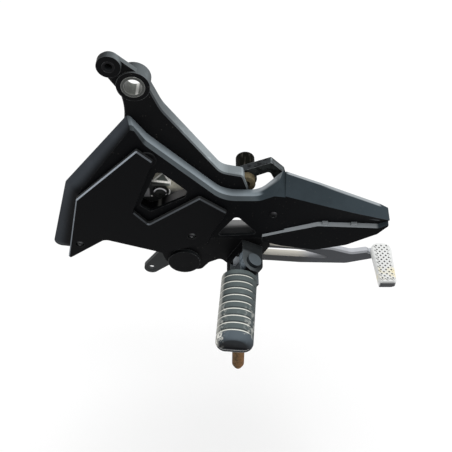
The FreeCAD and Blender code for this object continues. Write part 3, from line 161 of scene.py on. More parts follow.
# Tones of the peg's core in painted shade and sky light with a painted highlight line, of the lug bush's
# rust, of specks on rust and of the oily collar
CORE_SHADE = (0.026, 0.029, 0.033)
CORE_SKY = (0.2, 0.23, 0.25)
CORE_SKY_NEAR_END = (0.06, 0.063, 0.068)
CORE_EDGE_HIGHLIGHT = (0.95, 0.95, 0.95)
LUG_RUST_SHADE = (0.08, 0.068, 0.04)
LUG_RUST_PALE = (0.18, 0.145, 0.085)
RUST_SPECK = (0.3, 0.26, 0.2)
OIL = (0.004, 0.0042, 0.0028)

# Tones of the upper bore, painted light and shade: wall in shade and under the sky, a highlight streak, a
# shaded face and highlighted edges
BORE_SHADE = (0.05, 0.055, 0.05)
BORE_SKY = (0.2, 0.215, 0.19)
BORE_STREAK_HIGHLIGHT = (0.9, 0.9, 0.86)
BORE_FACE_SHADE = (0.05, 0.053, 0.05)
BORE_EDGE_HIGHLIGHT = (0.42, 0.42, 0.4)

# Tones of the bracket and the domed bolt behind the upper window, their painted highlights and painted shade
# among them
LIP_GREEN = (0.15, 0.17, 0.155)
LIP_CREAM = (0.42, 0.4, 0.33)
LIP_HIGHLIGHT = (1.0, 0.99, 0.94)
LIP_UNDER_SHADE = (0.03, 0.031, 0.03)
BRACKET_SHADE = (0.02, 0.021, 0.021)
BRACKET_FRONT = (0.2, 0.2, 0.2)
BRACKET_REAR = (0.24, 0.24, 0.25)
BRACKET_BROWN = (0.62, 0.6, 0.5)
BRACKET_HIGHLIGHT = (1.0, 1.0, 0.97)
BRACKET_BACK = (0.2, 0.205, 0.2)
DOME_SHADE = (0.012, 0.0125, 0.012)
DOME_SKY = (0.03, 0.032, 0.031)
DOME_HIGHLIGHT = (0.8, 0.8, 0.84)

# Tones of the rubber's end sheen, the pedal arm's painted reflections near its pivot, the lever in shade and
# under the sky, the tread's end face and its pits in painted shade
RUBBER_END_SHEEN = (0.125, 0.155, 0.18)
CHROME_CREAM_REFLECTION = (0.86, 0.82, 0.72)
CHROME_DARK_REFLECTION = (0.016, 0.017, 0.019)
LEVER_SHADE = (0.035, 0.037, 0.038)
LEVER_SKY = (0.1, 0.105, 0.11)
TREAD_END_SHADE = (0.03, 0.032, 0.036)
PIT_SHADE = (0.34, 0.35, 0.35)
PIT_PALE = (0.52, 0.52, 0.51)

# Pieces that share a finish
STEEL_NODES = {
    "bright_steel": ["pivot_shaft", "peg_pin_washer", "pivot_washer"],
    "plated_steel": ["dome_bolt_nut", "stop_nut", "bracket_screws", "pad_bolts"],
    "spring_steel": ["peg_spring", "peg_pin_clip", "pivot_clip"],
    "dark_steel": ["stop_bolt", "spring_post"],
    "bronze": ["pedal_bushes"],
}

# Metals: roughness, tone of the grime on them and its share
METALS = {
    "bright_steel": (0.22, (0.2, 0.19, 0.17), 0.5),
    "plated_steel": (0.35, (0.2, 0.21, 0.19), 0.6),
    "spring_steel": (0.35, (0.08, 0.07, 0.06), 0.7),
    "dark_steel": (0.35, (0.006, 0.006, 0.007), 0.5),
    "bronze": (0.35, (0.2, 0.13, 0.07), 0.5),
}

# Dull steels with painted sky light: piece, slot, tones in shade and under the sky, and how sharply the sky's
# tone falls off
DULL_STEELS = {
    "screw_steel": ("heel_plate_screws", "dark_steel", (0.008, 0.0085, 0.009), (0.5, 0.51, 0.53), 2.0),
    "cover_screw_steel": ("cover_screw", "dark_steel", (0.006, 0.0065, 0.007), (0.2, 0.2, 0.21), 4.0),
    "eye_steel": ("eye_bush", "bright_steel", (0.008, 0.008, 0.009), (0.05, 0.055, 0.06), 1.0),
    "pin_steel": ("peg_pin", "plated_steel", (0.012, 0.014, 0.016), (0.16, 0.19, 0.21), 1.0),
}


# Places on the part

def stretch(low, high, soft):
    """Mask of a stretch between two limits, with soft ends outside them."""
    return lambda tree, value: within(tree, value, low, high, soft)


def fade(start, end, first=0.0, last=1.0):
    """Mask that goes smoothly from a first to a last value between two places."""
    return lambda tree, value: span(tree, value, start, end, first, last)


PLACES = {
    # How strongly the casting's painted sky sheen shows on the arm, the web and the clevis ear
    "arm": {"Z": fade(-0.075, -0.02, 1.0, 0.4)},
    "web": {"Z": fade(-0.155, -0.125, 0.1, 1.0)},
    "ear": {
        "X": fade(0.093, 0.106, 0.42, 0.1),
        "Y": fade(-0.031, -0.036),
        "Z": stretch(-0.21, -0.165, 0.003),
    },
    "flank": {
        "X": stretch(0.086, 0.1, 0.002),
        "Y": stretch(-0.06, -0.0365, 0.001),
        "Z": stretch(-0.21, -0.172, 0.002),
    },
    "recess": {
        "X": stretch(0.0808, 0.092, 0.0008),
        "Y": stretch(-0.0345, -0.0335, 0.0004),
        "Z": stretch(-0.206, -0.187, 0.001),
    },
    "lug": {"X": stretch(0.094, 0.14, 0.002), "Z": stretch(-0.14, -0.08, 0.004)},
    "lug_outboard": {"Y": fade(0.02, 0.012)},
    "shelf": {"X": stretch(0.062, 0.108, 0.001), "Z": stretch(-0.169, -0.1664, 0.0002)},
    "shelf_back": {"Y": fade(-0.0145, -0.0055)},
    "sill": {"X": stretch(-0.014, 0.04, 0.001), "Z": stretch(-0.136, -0.108, 0.001)},
    "sill_front": {"X": fade(0.015, 0.029)},
    "upper_window": {"X": stretch(-0.01, 0.042, 0.002), "Z": stretch(-0.136, -0.104, 0.002)},
    "lower_window": {"X": stretch(0.055, 0.11, 0.002), "Z": stretch(-0.172, -0.155, 0.002)},
    "band_sheen": {"X": fade(0.03, 0.05, 1.0, 0.0), "Z": fade(-0.15, -0.1, 0.75, 1.0)},
    "wedge": {"X": fade(0.085, 0.1)},
    "joint": {"X": stretch(0.1272, 0.1298, 0.0003), "Z": fade(-0.114, -0.112)},
    "seam": {"X": stretch(0.125, 0.131, 0.001)},
    "rim": {"X": stretch(0.13, 0.216, 0.004), "Y": fade(-0.0168, -0.016)},
    "rise": {"X": stretch(0.1, 0.122, 0.006), "Y": fade(-0.0185, -0.0155)},
    "lip": {"X": fade(0.112, 0.124, 1.0, 0.0)},
    "lip_top": {"Y": fade(-0.0214, -0.0208)},
    "lip_inner": {"Y": fade(-0.0205, -0.0135, 0.0, 0.6)},
    "ledge": {"X": fade(0.1, 0.106), "Y": fade(-0.0225, -0.0235), "Z": fade(-0.143, -0.141, 1.0, 0.0)},
    "ledge_end": {"X": fade(0.215, 0.2185, 1.0, 0.0)},
    "tabs": {"Y": stretch(-0.0263, -0.0257, 0.0002)},
    # Where the heel plate's painted bevel highlight is brightest
    "plate_rear": {"X": fade(-0.005, 0.004, 1.0, 0.2)},
    "plate_top": {"Z": fade(-0.1, -0.08, 0.0, 0.75)},
    # Painted highlight streak in the upper bore
    "bore_highlight_streak": {"X": stretch(0.0016, 0.0032, 0.0008)},
    "bracket_lip": {"Y": fade(-0.0108, -0.0112)},
    "bracket_front": {"X": fade(0.02, 0.03)},
    "bracket_rear": {"X": fade(0.0032, 0.0014), "Z": stretch(-0.126, -0.117, 0.002)},
    "bracket_brown": {"X": fade(0.017, 0.0225), "Z": fade(-0.122, -0.113)},
    "bracket_sweep": {"X": fade(0.0165, 0.018), "Z": stretch(-0.1235, -0.1175, 0.001)},
    "dome_top": {"Z": fade(-0.1195, -0.1165)},
    # Where the pedal arm's painted reflections turn cream and darker, near the pivot
    "pedal_pivot": {"X": fade(0.145, 0.165, 1.0, 0.0)},
}

# Where the cover's rear bevel turns from painted shade to a painted slate sheen on its way inboard, and how
# much farther inboard low down
BAND_SHEEN_FADE = fade(-0.0255, -0.0178)
BAND_SHEEN_SHIFT = fade(-0.115, -0.095, 0.0027, 0.0)

# Marks on the bracket's lip, by distance from its lines: painted highlights on its edges, cream rear and
# painted shade on its underside
FRONT_HIGHLIGHT = fade(0.0002, 0.0008)
REAR_HIGHLIGHT = stretch(0.0003, 0.001, 0.0005)
FOLD_HIGHLIGHT = stretch(-0.0007, 0.0004, 0.0004)
HIGHLIGHT_END = fade(-0.0014, -0.0006)
CREAM_REAR = fade(0.001, 0.002)
SHADE_BELOW_FOLD = fade(-0.0008, -0.0016)

# Marks by distance from an axis: painted highlights on the bracket's sweep and on the dome's ring, a painted
# glint on each, and the sill's smudge
SWEEP_HIGHLIGHT = stretch(0.0084, 0.009, 0.0005)
GLINT_ON_BRACKET = fade(0.0011, 0.0006)
DOME_RING_HIGHLIGHT = stretch(0.0056, 0.006, 0.0004)
GLINT_ON_DOME = fade(0.001, 0.0005)
SMUDGE_SPOT = fade(0.0032, 0.0004, 0.0, 0.7)

# Reach of the stain from the tread's outboard end
STAIN_REACH = stretch(0.008, 0.015, 0.006)

# Marks along and across the peg: a groove's pale line, painted shade and reach, the end of the painted sheen,
# scuffs, corner and rubbed edge
GROOVE_LINE = stretch(-0.0001, 0.0007, 0.0005)
GROOVE_SHADE = stretch(-0.0013, -0.0007, 0.0005)
GROOVE_REACH = stretch(-0.0158, 0.0115, 0.003)
SMOOTH_END = fade(PEG_END - 0.011, PEG_END - 0.008)
SCUFF_START = fade(0.045, 0.06)
SCUFF_SIDES = fade(0.006, 0.011)
CORNER_END = fade(PEG_END - 0.012, PEG_END - 0.008)
CORNER_SIDE = fade(-0.008, -0.012)
RUBBED_EDGE = fade(-0.0125, -0.0155, 0.0, 0.45)
# Where the core's painted sky light darkens towards the end
CORE_FADE = fade(0.06, PEG_END - 0.01)


# Properties

def colour(name, description, value):
    """Colour property with its default."""
    return bpy.props.FloatVectorProperty(
        name=name, description=description, subtype="COLOR", size=3, min=0, max=1, default=value)


def length(name, description, value):
    """Length property with its default, in metres."""
    return bpy.props.FloatProperty(
        name=name, description=description, subtype="DISTANCE", unit="LENGTH", min=0, default=value,
        precision=5)


class HangerColours(bpy.types.PropertyGroup):
    """Colours of the finishes."""

    paint: colour("Casting paint", "Satin black paint of the casting", (0.005, 0.0052, 0.0058))
    # Painted sheen: the casting's slate tone where it faces the sky
    paint_sky_sheen: colour("Casting sheen", "Slate tone of the casting under the sky", (0.43, 0.485, 0.51))
    cover: colour("Cover", "Matt black moulding", (0.0042, 0.0045, 0.0052))
    # Painted sky light on the cover's upper lip
    lip: colour("Lip", "Bright slate of the cover's upper lip", (0.37, 0.43, 0.47))
    # Painted shade along the lip's outer strip, also laid over the seam's step
    lip_shade: colour("Lip shade", "Darker strip along the lip's outer edge", (0.1, 0.118, 0.128))
    # Painted sheen on the cover's rear bevel where it looks rearward
    band_sheen: colour("Band", "Slate of the cover's rear bevel, at its inboard edge", (0.05, 0.057, 0.067))
    # Painted sheen on the wedge's faces that look up
    wedge: colour("Wedge", "Slate of the cover's front wedge", (0.046, 0.061, 0.071))
    # Painted light on the wedge's mouth and on its rim's upward faces
    ledge: colour("Ledge", "Pale grey edge of the wedge's mouth", (0.36, 0.39, 0.41))
    plate: colour("Heel plate", "Smooth black plate", (0.0052, 0.0054, 0.006))
    # Worn edges; the same colour also paints highlights along edges
    wear_and_highlight: colour("Worn edge", "Metal or grey plastic showing at worn edges", (0.42, 0.44, 0.45))
    dust: colour("Dust", "Pale road dust", (0.3, 0.28, 0.24))
    bright_steel: colour("Bright steel", "Bright turned steel", (0.62, 0.61, 0.58))
    plated_steel: colour("Plated steel", "Plated nuts and screws", (0.5, 0.51, 0.48))
    spring_steel: colour("Spring steel", "Springs and clips", (0.3, 0.3, 0.3))
    dark_steel: colour("Dark steel", "Blackened fasteners", (0.014, 0.0145, 0.015))
    bronze: colour("Bronze", "The pedal's bushes", (0.5, 0.33, 0.15))
    rust: colour("Rust", "Orange-brown rust", (0.24, 0.125, 0.055))
    old_rust: colour("Old rust", "Dark brown rust", (0.05, 0.038, 0.02))
    rubber: colour("Rubber", "Peg rubber", (0.009, 0.0095, 0.011))
    # Dust and painted sky sheen on the rubber's upper faces
    rubber_dust_and_sheen: colour("Rubber sheen", "Greyed upper face of the peg rubber", (0.135, 0.165, 0.166))
    cream: colour("Groove dust", "Pale dust in the peg's grooves", (0.86, 0.86, 0.8))
    # Painted reflections on the pedal arm, of the sky and of the ground
    chrome: colour("Chrome", "Pedal arm where it mirrors the sky", (0.62, 0.64, 0.68))
    chrome_ground_reflection: colour("Chrome shade", "Pedal arm where it mirrors the ground", (0.03, 0.034, 0.042))
    tread: colour("Tread", "Bright cast tread", (0.8, 0.81, 0.8))
    stain: colour("Stain", "Yellowish stain on the tread", (0.9, 0.83, 0.6))
    floor: colour("Floor", "Studio floor", (0.97, 0.97, 0.97))


class HangerSizes(bpy.types.PropertyGroup):
    """Sizes of worn edges and of the painted highlights along them, and of the tread."""

    # Width of worn edges and of the painted highlights along them
    wear_and_highlight_width: length("Edge wear", "Width of worn edges", 0.0006)
    tread_pitch: length("Tread pitch", "Distance between pits of the tread in a row", 0.0052)
    tread_height: length("Tread height", "Depth of the tread's pits", 0.0009)
    tread_margin: length("Tread margin", "Smooth border of the tread", 0.0015)
    floor_drop: length("Floor drop", "Clear height under the part", 0.2)


# Node helpers

def add(tree, kind, inputs=None, **settings):
    """New node with settings, and with inputs that are values or other nodes' outputs."""
    made = tree.nodes.new(kind)
    for name, value in settings.items():
        setattr(made, name, value)
    for key, value in (inputs or {}).items():
        connect(tree, made.inputs[key], value)
    return made


def connect(tree, socket, value):
    """Links an output to the socket, or sets the socket's own value."""
    if isinstance(value, bpy.types.NodeSocket):
        tree.links.new(value, socket)
    else:
        socket.default_value = value


def rgba(tone):
    """Colour with full alpha."""
    return (*tone, 1.0)


def mixed(tree, factor, first, second):
    """Colour between two, as the factor says."""
    made = add(tree, "ShaderNodeMix", data_type="RGBA")
    connect(tree, made.inputs[0], factor)
    for index, value in ((6, first), (7, second)):
        connect(tree, made.inputs[index], value if isinstance(value, bpy.types.NodeSocket) else rgba(value))
    return made.outputs[2]


def span(tree, value, low, high, start=0.0, end=1.0):
    """Smooth step of a value from low to high."""
    inputs = {"Value": value, "From Min": low, "From Max": high, "To Min": start, "To Max": end}
    return add(tree, "ShaderNodeMapRange", inputs, interpolation_type="SMOOTHSTEP").outputs[0]


def calc(tree, operation, first, second=0.0):
    """Result of one sum."""
    return add(tree, "ShaderNodeMath", {0: first, 1: second}, operation=operation).outputs[0]


def dot(tree, first, second):
    """Dot product of two vectors."""
    return add(tree, "ShaderNodeVectorMath", {0: first, 1: second}, operation="DOT_PRODUCT").outputs["Value"]


def place(tree):
    """The piece's own coordinates, in metres."""
    return add(tree, "ShaderNodeTexCoord").outputs["Object"]


def noise(tree, vector, scale, detail=3.0, roughness=0.55):
    """Value of a noise field."""
    inputs = {"Vector": vector, "Scale": scale, "Detail": detail, "Roughness": roughness}
    return add(tree, "ShaderNodeTexNoise", inputs).outputs[0]


def shader_group(name, inputs, outputs):
    """Empty shader group with float inputs as (name, default) and float outputs, and its two end nodes."""
    group = bpy.data.node_groups.new(name, "ShaderNodeTree")
    for label, value in inputs:
        socket = group.interface.new_socket(name=label, in_out="INPUT", socket_type="NodeSocketFloat")
        socket.default_value = value
    for label in outputs:
        group.interface.new_socket(name=label, in_out="OUTPUT", socket_type="NodeSocketFloat")
    return group, add(group, "NodeGroupInput").outputs, add(group, "NodeGroupOutput").inputs


def use(tree, name, **inputs):
    """Outputs of a shared group placed in a tree."""
    made = add(tree, "ShaderNodeGroup", node_tree=bpy.data.node_groups[name])
    for key, value in inputs.items():
        connect(tree, made.inputs[key], value)
    return made.outputs


# Shared effects

def edge_wear_and_highlight_group():
    """Mask of worn outer edges, broken up by a noise, also used to paint highlights along edges."""
    inputs = [("Width", 0.0006), ("Low", 0.03), ("High", 0.2), ("Breakup", 300.0), ("Hold", 0.4)]
    group, given, result = shader_group("edge_wear_and_highlight", inputs, ["Mask"])
    rounded = add(group, "ShaderNodeBevel", {"Radius": given["Width"]}, samples=8).outputs[0]
    flat = add(group, "ShaderNodeNewGeometry").outputs["Normal"]
    turned = calc(group, "SUBTRACT", 1.0, dot(group, rounded, flat))
    limits = {"Value": turned, "From Min": given["Low"], "From Max": given["High"]}
    edge = add(group, "ShaderNodeMapRange", limits)
    broken = span(group, noise(group, place(group), given["Breakup"]), 0.35, 0.6)
    kept = calc(group, "MAXIMUM", broken, given["Hold"])
    connect(group, result["Mask"], calc(group, "MULTIPLY", edge.outputs[0], kept))


def painted_sky_light_group():
    """Mask of painted sky light, growing as a face turns to the sky, leaning forward or back, mottled by a
    noise.
    """
    inputs = [("Lean", 0.3), ("Rise", 0.95), ("Power", 2.0), ("Scale", 60.0), ("Evenness", 0.7)]
    group, given, result = shader_group("painted_sky_light", inputs, ["Mask"])
    parts = facing(group)
    forward = calc(group, "MULTIPLY", parts["X"], given["Lean"])
    turned = calc(group, "ADD", forward, calc(group, "MULTIPLY", parts["Z"], given["Rise"]))
    level = calc(group, "POWER", calc(group, "MAXIMUM", turned, 0.0), given["Power"])
    mottled = span(group, noise(group, place(group), given["Scale"], 5.0), 0.3, 0.7)
    kept = calc(group, "MAXIMUM", mottled, given["Evenness"])
    connect(group, result["Mask"], calc(group, "MULTIPLY", level, kept))


def speckle_group():
    """Mask of small scattered specks."""
    inputs = [("Scale", 600.0), ("Size", 0.25), ("Share", 0.3)]
    group, given, result = shader_group("speckle", inputs, ["Mask"])
    cells = add(group, "ShaderNodeTexVoronoi", {"Vector": place(group), "Scale": given["Scale"]})
    near = calc(group, "LESS_THAN", cells.outputs["Distance"], given["Size"])
    pick = add(group, "ShaderNodeSeparateColor", {0: cells.outputs["Color"]}).outputs[0]
    chosen = calc(group, "LESS_THAN", pick, given["Share"])
    connect(group, result["Mask"], calc(group, "MULTIPLY", near, chosen))


def grain_group():
    """Fine bump height and a slow change of tone."""
    group, given, result = shader_group("grain", [("Fine", 900.0), ("Slow", 40.0)], ["Height", "Tone"])
    connect(group, result["Height"], noise(group, place(group), given["Fine"], 2.0))
    connect(group, result["Tone"], span(group, noise(group, place(group), given["Slow"], 4.0), 0.3, 0.7))


def build_groups():
    """All shared effects."""
    edge_wear_and_highlight_group()
    painted_sky_light_group()
    speckle_group()
    grain_group()


# Finishes

def finish(name, roughness, specular=0.5, metallic=0.0):
    """New material, its tree and its shader."""
    material = bpy.data.materials.new(name)
    material.use_nodes = True
    tree = material.node_tree
    shader = tree.nodes["Principled BSDF"]
    shader.inputs["Roughness"].default_value = roughness
    shader.inputs["Specular IOR Level"].default_value = specular
    shader.inputs["Metallic"].default_value = metallic
    return material, tree, shader


def bump(tree, shader, height, strength, distance):
    """Relief from a height, in metres."""
    made = add(tree, "ShaderNodeBump", {"Strength": strength, "Distance": distance, "Height": height})
    connect(tree, shader.inputs["Normal"], made.outputs[0])


def spread(tree):
    """The three coordinates of a point of the piece, by name."""
    return add(tree, "ShaderNodeSeparateXYZ", {0: place(tree)}).outputs


def within(tree, value, low, high, soft):
    """Mask of a value between two limits, with soft ends outside them."""
    rise = span(tree, value, low - soft, low)
    return calc(tree, "MULTIPLY", rise, span(tree, value, high, high + soft, 1.0, 0.0))


def all_of(tree, *masks):
    """Product of masks."""
    product = masks[0]
    for mask in masks[1:]:
        product = calc(tree, "MULTIPLY", product, mask)
    return product


def facing(tree):
    """Direction that a face looks in, by axis."""
    return add(tree, "ShaderNodeSeparateXYZ", {0: add(tree, "ShaderNodeTexCoord").outputs["Normal"]}).outputs


def facing_out(tree):
    """How far a face looks outboard, from -1 to 1."""
    return calc(tree, "MULTIPLY", facing(tree)["Y"], -1.0)


def spot(tree, name):
    """Mask of a named place on the part."""
    at = spread(tree)
    return all_of(tree, *(mask(tree, at[axis]) for axis, mask in PLACES[name].items()))


def greatest(tree, *masks):
    """Greatest of several masks."""
    most = masks[0]
    for mask in masks[1:]:
        most = calc(tree, "MAXIMUM", most, mask)
    return most


def part_of(tree, mask, share):
    """Mask lowered to a share."""
    return calc(tree, "MULTIPLY", mask, share)


def offset(tree, point):
    """Vector from a point to the place being shaded."""
    return add(tree, "ShaderNodeVectorMath", {0: place(tree), 1: point}, operation="SUBTRACT").outputs[0]


def from_axis(tree, point):
    """Distance from an axis that runs across the machine through a point."""
    inputs = {0: offset(tree, point), 1: (1.0, 0.0, 1.0)}
    flat = add(tree, "ShaderNodeVectorMath", inputs, operation="MULTIPLY").outputs[0]
    return add(tree, "ShaderNodeVectorMath", {0: flat}, operation="LENGTH").outputs["Value"]


def casting_paint(colours, sizes):
    """Satin black paint with a painted slate sheen where it faces the sky, greyed on the clevis, worn edges
    that are partly painted highlights, a mottled lug, and painted light and shade in small places.
    """
    material, tree, shader = finish("casting_paint", 0.45, 0.03)
    grain = use(tree, "grain", Fine=700.0, Slow=55.0)
    turn = facing(tree)
    # Painted slate sheen on faces that look at the sky, weaker high on the arm and low on the web, part
    # strength on the clevis ear
    sky_lit = use(tree, "painted_sky_light", Lean=0.75, Rise=0.66, Power=2.2, Scale=70.0, Evenness=0.75)["Mask"]
    level = greatest(tree, all_of(tree, spot(tree, "arm"), spot(tree, "web")), spot(tree, "ear"))
    tone = mixed(tree, all_of(tree, sky_lit, level), colours.paint, colours.paint_sky_sheen)
    lug = spot(tree, "lug")
    # Lug: a lighter tone on its outboard faces with black blotches over it, and painted shade on its faces
    # that look forward
    tone = mixed(tree, all_of(tree, lug, span(tree, facing_out(tree), 0.6, 0.9)), tone, LUG_FACE)
    blotches = span(tree, noise(tree, place(tree), 230.0, 5.0), 0.44, 0.6, 0.0, 0.75)
    tone = mixed(tree, all_of(tree, lug, blotches, spot(tree, "lug_outboard")), tone, colours.paint)
    tone = mixed(tree, all_of(tree, lug, span(tree, turn["X"], 0.5, 0.8, 0.0, 0.9)), tone, colours.paint)
    # Painted light and shade on the shelf in the lower window: lit at its inboard back, shaded at its
    # outboard front
    shelf_tone = mixed(tree, spot(tree, "shelf_back"), SHELF_SHADE, SHELF_LIT)
    tone = mixed(tree, spot(tree, "shelf"), tone, shelf_tone)
    # Painted sky light on the sill's upward faces, pale towards the front
    sill = all_of(tree, spot(tree, "sill"), span(tree, turn["Z"], 0.3, 0.5))
    tone = mixed(tree, sill, tone, mixed(tree, spot(tree, "sill_front"), colours.paint, SILL_LIT))
    smudge = SMUDGE_SPOT(tree, from_axis(tree, SILL_SMUDGE))
    tone = mixed(tree, all_of(tree, sill, smudge), tone, SMUDGE)
    # Painted light on the back wall of the clevis recess
    tone = mixed(tree, spot(tree, "recess"), tone, RECESS_LIT)
    # Painted streaky sheen on the clevis flank's faces that look rearward
    flank = all_of(tree, spot(tree, "flank"), span(tree, turn["X"], -0.5, -0.8))
    streaks = span(tree, noise(tree, place(tree), 340.0, 4.0), 0.38, 0.62)
    tone = mixed(tree, flank, tone, mixed(tree, streaks, FLANK_SHADE, FLANK_SHEEN))
    specks = use(tree, "speckle", Scale=420.0, Size=0.2, Share=0.1)["Mask"]
    tone = mixed(tree, part_of(tree, specks, 0.12), tone, colours.dust)
    # Worn edges, partly painted highlights, stronger on the lug
    worn = use(tree, "edge_wear_and_highlight", Width=sizes.wear_and_highlight_width, Breakup=260.0, Hold=0.25)["Mask"]
    tone = mixed(tree, all_of(tree, worn, span(tree, lug, 0.0, 1.0, 0.4, 0.9)), tone, colours.wear_and_highlight)
    connect(tree, shader.inputs["Base Color"], tone)
    connect(tree, shader.inputs["Roughness"], span(tree, grain["Tone"], 0.0, 1.0, 0.4, 0.55))
    bump(tree, shader, grain["Height"], 0.2, 0.0002)
    return material


def cover_finish(colours, sizes):
    """Matt black moulding with painted sky light: lip in two slates, a rear bevel fading from slate into
    painted shade, slate wedge, pale ledge, and painted shade in the window openings.
    """
    material, tree, shader = finish("cover_moulding", 0.5, 0.02)
    grain = use(tree, "grain", Fine=1200.0, Slow=35.0)
    turn = facing(tree)
    upward = span(tree, turn["Z"], 0.56, 0.64)
    cloud = span(tree, grain["Tone"], 0.0, 1.0, 0.85, 1.0)
    # Painted shade in the window openings, where the slate sheens drop almost away; elsewhere they are
    # mottled
    window_shade = greatest(tree, spot(tree, "upper_window"), spot(tree, "lower_window"))
    even = all_of(tree, cloud, span(tree, window_shade, 0.0, 1.0, 1.0, 0.08))
    at = spread(tree)
    # Painted slate sheen on the rear bevel's rearward faces, in painted shade outboard towards the heel plate
    inwards = calc(tree, "SUBTRACT", at["Y"], BAND_SHEEN_SHIFT(tree, at["Z"]))
    rearward = span(tree, turn["X"], -0.3, -0.45)
    band_sheen = all_of(tree, rearward, BAND_SHEEN_FADE(tree, inwards), spot(tree, "band_sheen"), even)
    tone = mixed(tree, band_sheen, colours.cover, colours.band_sheen)
    # Painted slate sheen on the wedge's faces that look up
    wedge = all_of(tree, spot(tree, "wedge"), span(tree, turn["Z"], 0.15, 0.42), even)
    tone = mixed(tree, wedge, tone, colours.wedge)
    # The seam's step, dark in its own shade, painted in the lip's shade tone
    across = span(tree, calc(tree, "ABSOLUTE", turn["X"]), 0.6, 0.8)
    tone = mixed(tree, all_of(tree, spot(tree, "joint"), across), tone, colours.lip_shade)
    # Painted light: pale upward faces along the wedge's rim and rise
    edge = greatest(tree, all_of(tree, spot(tree, "rim"), upward), all_of(tree, spot(tree, "rise"), upward))
    tone = mixed(tree, edge, tone, colours.ledge)
    # Painted sky light on the lip's faces that look up and forward, in two slates with a darker outer strip
    lean = calc(tree, "ADD", turn["Z"], calc(tree, "MULTIPLY", turn["X"], 0.35))
    forward = span(tree, turn["X"], 0.1, 0.6, 0.65, 1.0)
    lip = all_of(tree, span(tree, lean, 0.6, 0.85), spot(tree, "lip"), forward, even)
    lip_tone = mixed(tree, spot(tree, "lip_inner"), colours.lip, colours.wedge)
    tone = mixed(tree, lip, tone, mixed(tree, spot(tree, "lip_top"), colours.lip_shade, lip_tone))
    # Painted light on the ledge's upward faces, and pale grey on the tabs' lower faces
    tabs = all_of(tree, spot(tree, "tabs"), span(tree, turn["Z"], -0.5, -0.2))
    pale = greatest(tree, span(tree, turn["Z"], 0.55, 0.85), part_of(tree, tabs, 0.6))
    tone = mixed(tree, all_of(tree, spot(tree, "ledge"), spot(tree, "ledge_end"), pale), tone, colours.ledge)
    specks = use(tree, "speckle", Scale=500.0, Size=0.18, Share=0.1)["Mask"]
    tone = mixed(tree, part_of(tree, specks, 0.12), tone, colours.dust)
    # Worn edges, partly painted highlights, faint and left out at the seam
    worn = use(tree, "edge_wear_and_highlight", Width=sizes.wear_and_highlight_width, Breakup=180.0, Hold=0.3)["Mask"]
    kept = span(tree, spot(tree, "seam"), 0.0, 1.0, 0.22, 0.0)
    connect(tree, shader.inputs["Base Color"], mixed(tree, all_of(tree, worn, kept), tone, colours.wear_and_highlight))
    bump(tree, shader, grain["Height"], 0.2, 0.00012)
    return material


def plate_finish(colours, sizes):
    """Smooth black plate with a faint painted sky sheen, its upper bevels lit by a painted highlight, bright
    at the rear and the top and grey elsewhere.
    """
    material, tree, shader = finish("heel_plate_black", 0.38, 0.02)
    sky_lit = use(tree, "painted_sky_light", Lean=-0.3, Rise=0.95, Power=1.0, Scale=90.0, Evenness=0.8)["Mask"]
    bevel = span(tree, facing_out(tree), 0.25, 0.55)
    bright = greatest(tree, spot(tree, "plate_rear"), spot(tree, "plate_top"))
    # Faint painted sky sheen, then the painted highlight on bevels that look up and outboard
    tone = mixed(tree, part_of(tree, sky_lit, 0.1), colours.plate, colours.wear_and_highlight)
    tone = mixed(tree, all_of(tree, span(tree, sky_lit, 0.1, 0.5), bevel, bright), tone, PLATE_BEVEL_HIGHLIGHT)
    # A touch of edge wear, partly a faint painted highlight
    worn = use(tree, "edge_wear_and_highlight", Width=sizes.wear_and_highlight_width, Breakup=200.0, Hold=0.5)["Mask"]
    connect(tree, shader.inputs["Base Color"], mixed(tree, part_of(tree, worn, 0.08), tone, colours.wear_and_highlight))
    return material


def steel_finish(name, tone, roughness, dirt, dirt_share):
    """Metal with grime in slow patches."""
    material, tree, shader = finish(name, roughness, 0.5, 1.0)
    grain = use(tree, "grain", Fine=1500.0, Slow=120.0)
    patches = calc(tree, "MULTIPLY", grain["Tone"], dirt_share)
    connect(tree, shader.inputs["Base Color"], mixed(tree, patches, tone, dirt))
    uneven = span(tree, grain["Tone"], 0.0, 1.0, roughness, roughness + 0.15)
    connect(tree, shader.inputs["Roughness"], uneven)
    bump(tree, shader, grain["Height"], 0.15, 0.0001)
    return material


def dull_finish(name, shade, sky, power):
    """Greyed steel with painted sky light, lighter where it faces the sky."""
    material, tree, shader = finish(name, 0.5, 0.05)
    sky_lit = use(tree, "painted_sky_light", Lean=0.3, Rise=0.95, Power=power, Scale=110.0, Evenness=0.75)["Mask"]
    connect(tree, shader.inputs["Base Color"], mixed(tree, sky_lit, shade, sky))
    bump(tree, shader, use(tree, "grain", Fine=900.0)["Height"], 0.2, 0.0001)
    return material


def core_finish():
    """Grey cast peg with painted sky light, darker near the end, its base plate edged with a thin painted
    highlight line at the end.
    """
    material, tree, shader = finish("peg_metal", 0.5, 0.05)
    end = CORE_FADE(tree, dot(tree, offset(tree, PEG_HINGE), PEG_AXIS))
    sky_lit = use(tree, "painted_sky_light", Lean=0.0, Rise=1.0, Power=2.0, Scale=110.0, Evenness=0.8)["Mask"]
    tone = mixed(tree, sky_lit, CORE_SHADE, mixed(tree, end, CORE_SKY, CORE_SKY_NEAR_END))
    # Painted highlight: a white line along the edges near the end
    worn = use(tree, "edge_wear_and_highlight", Width=0.0008, Breakup=200.0, Hold=0.8)["Mask"]
    connect(tree, shader.inputs["Base Color"], mixed(tree, all_of(tree, worn, end), tone, CORE_EDGE_HIGHLIGHT))
    return material


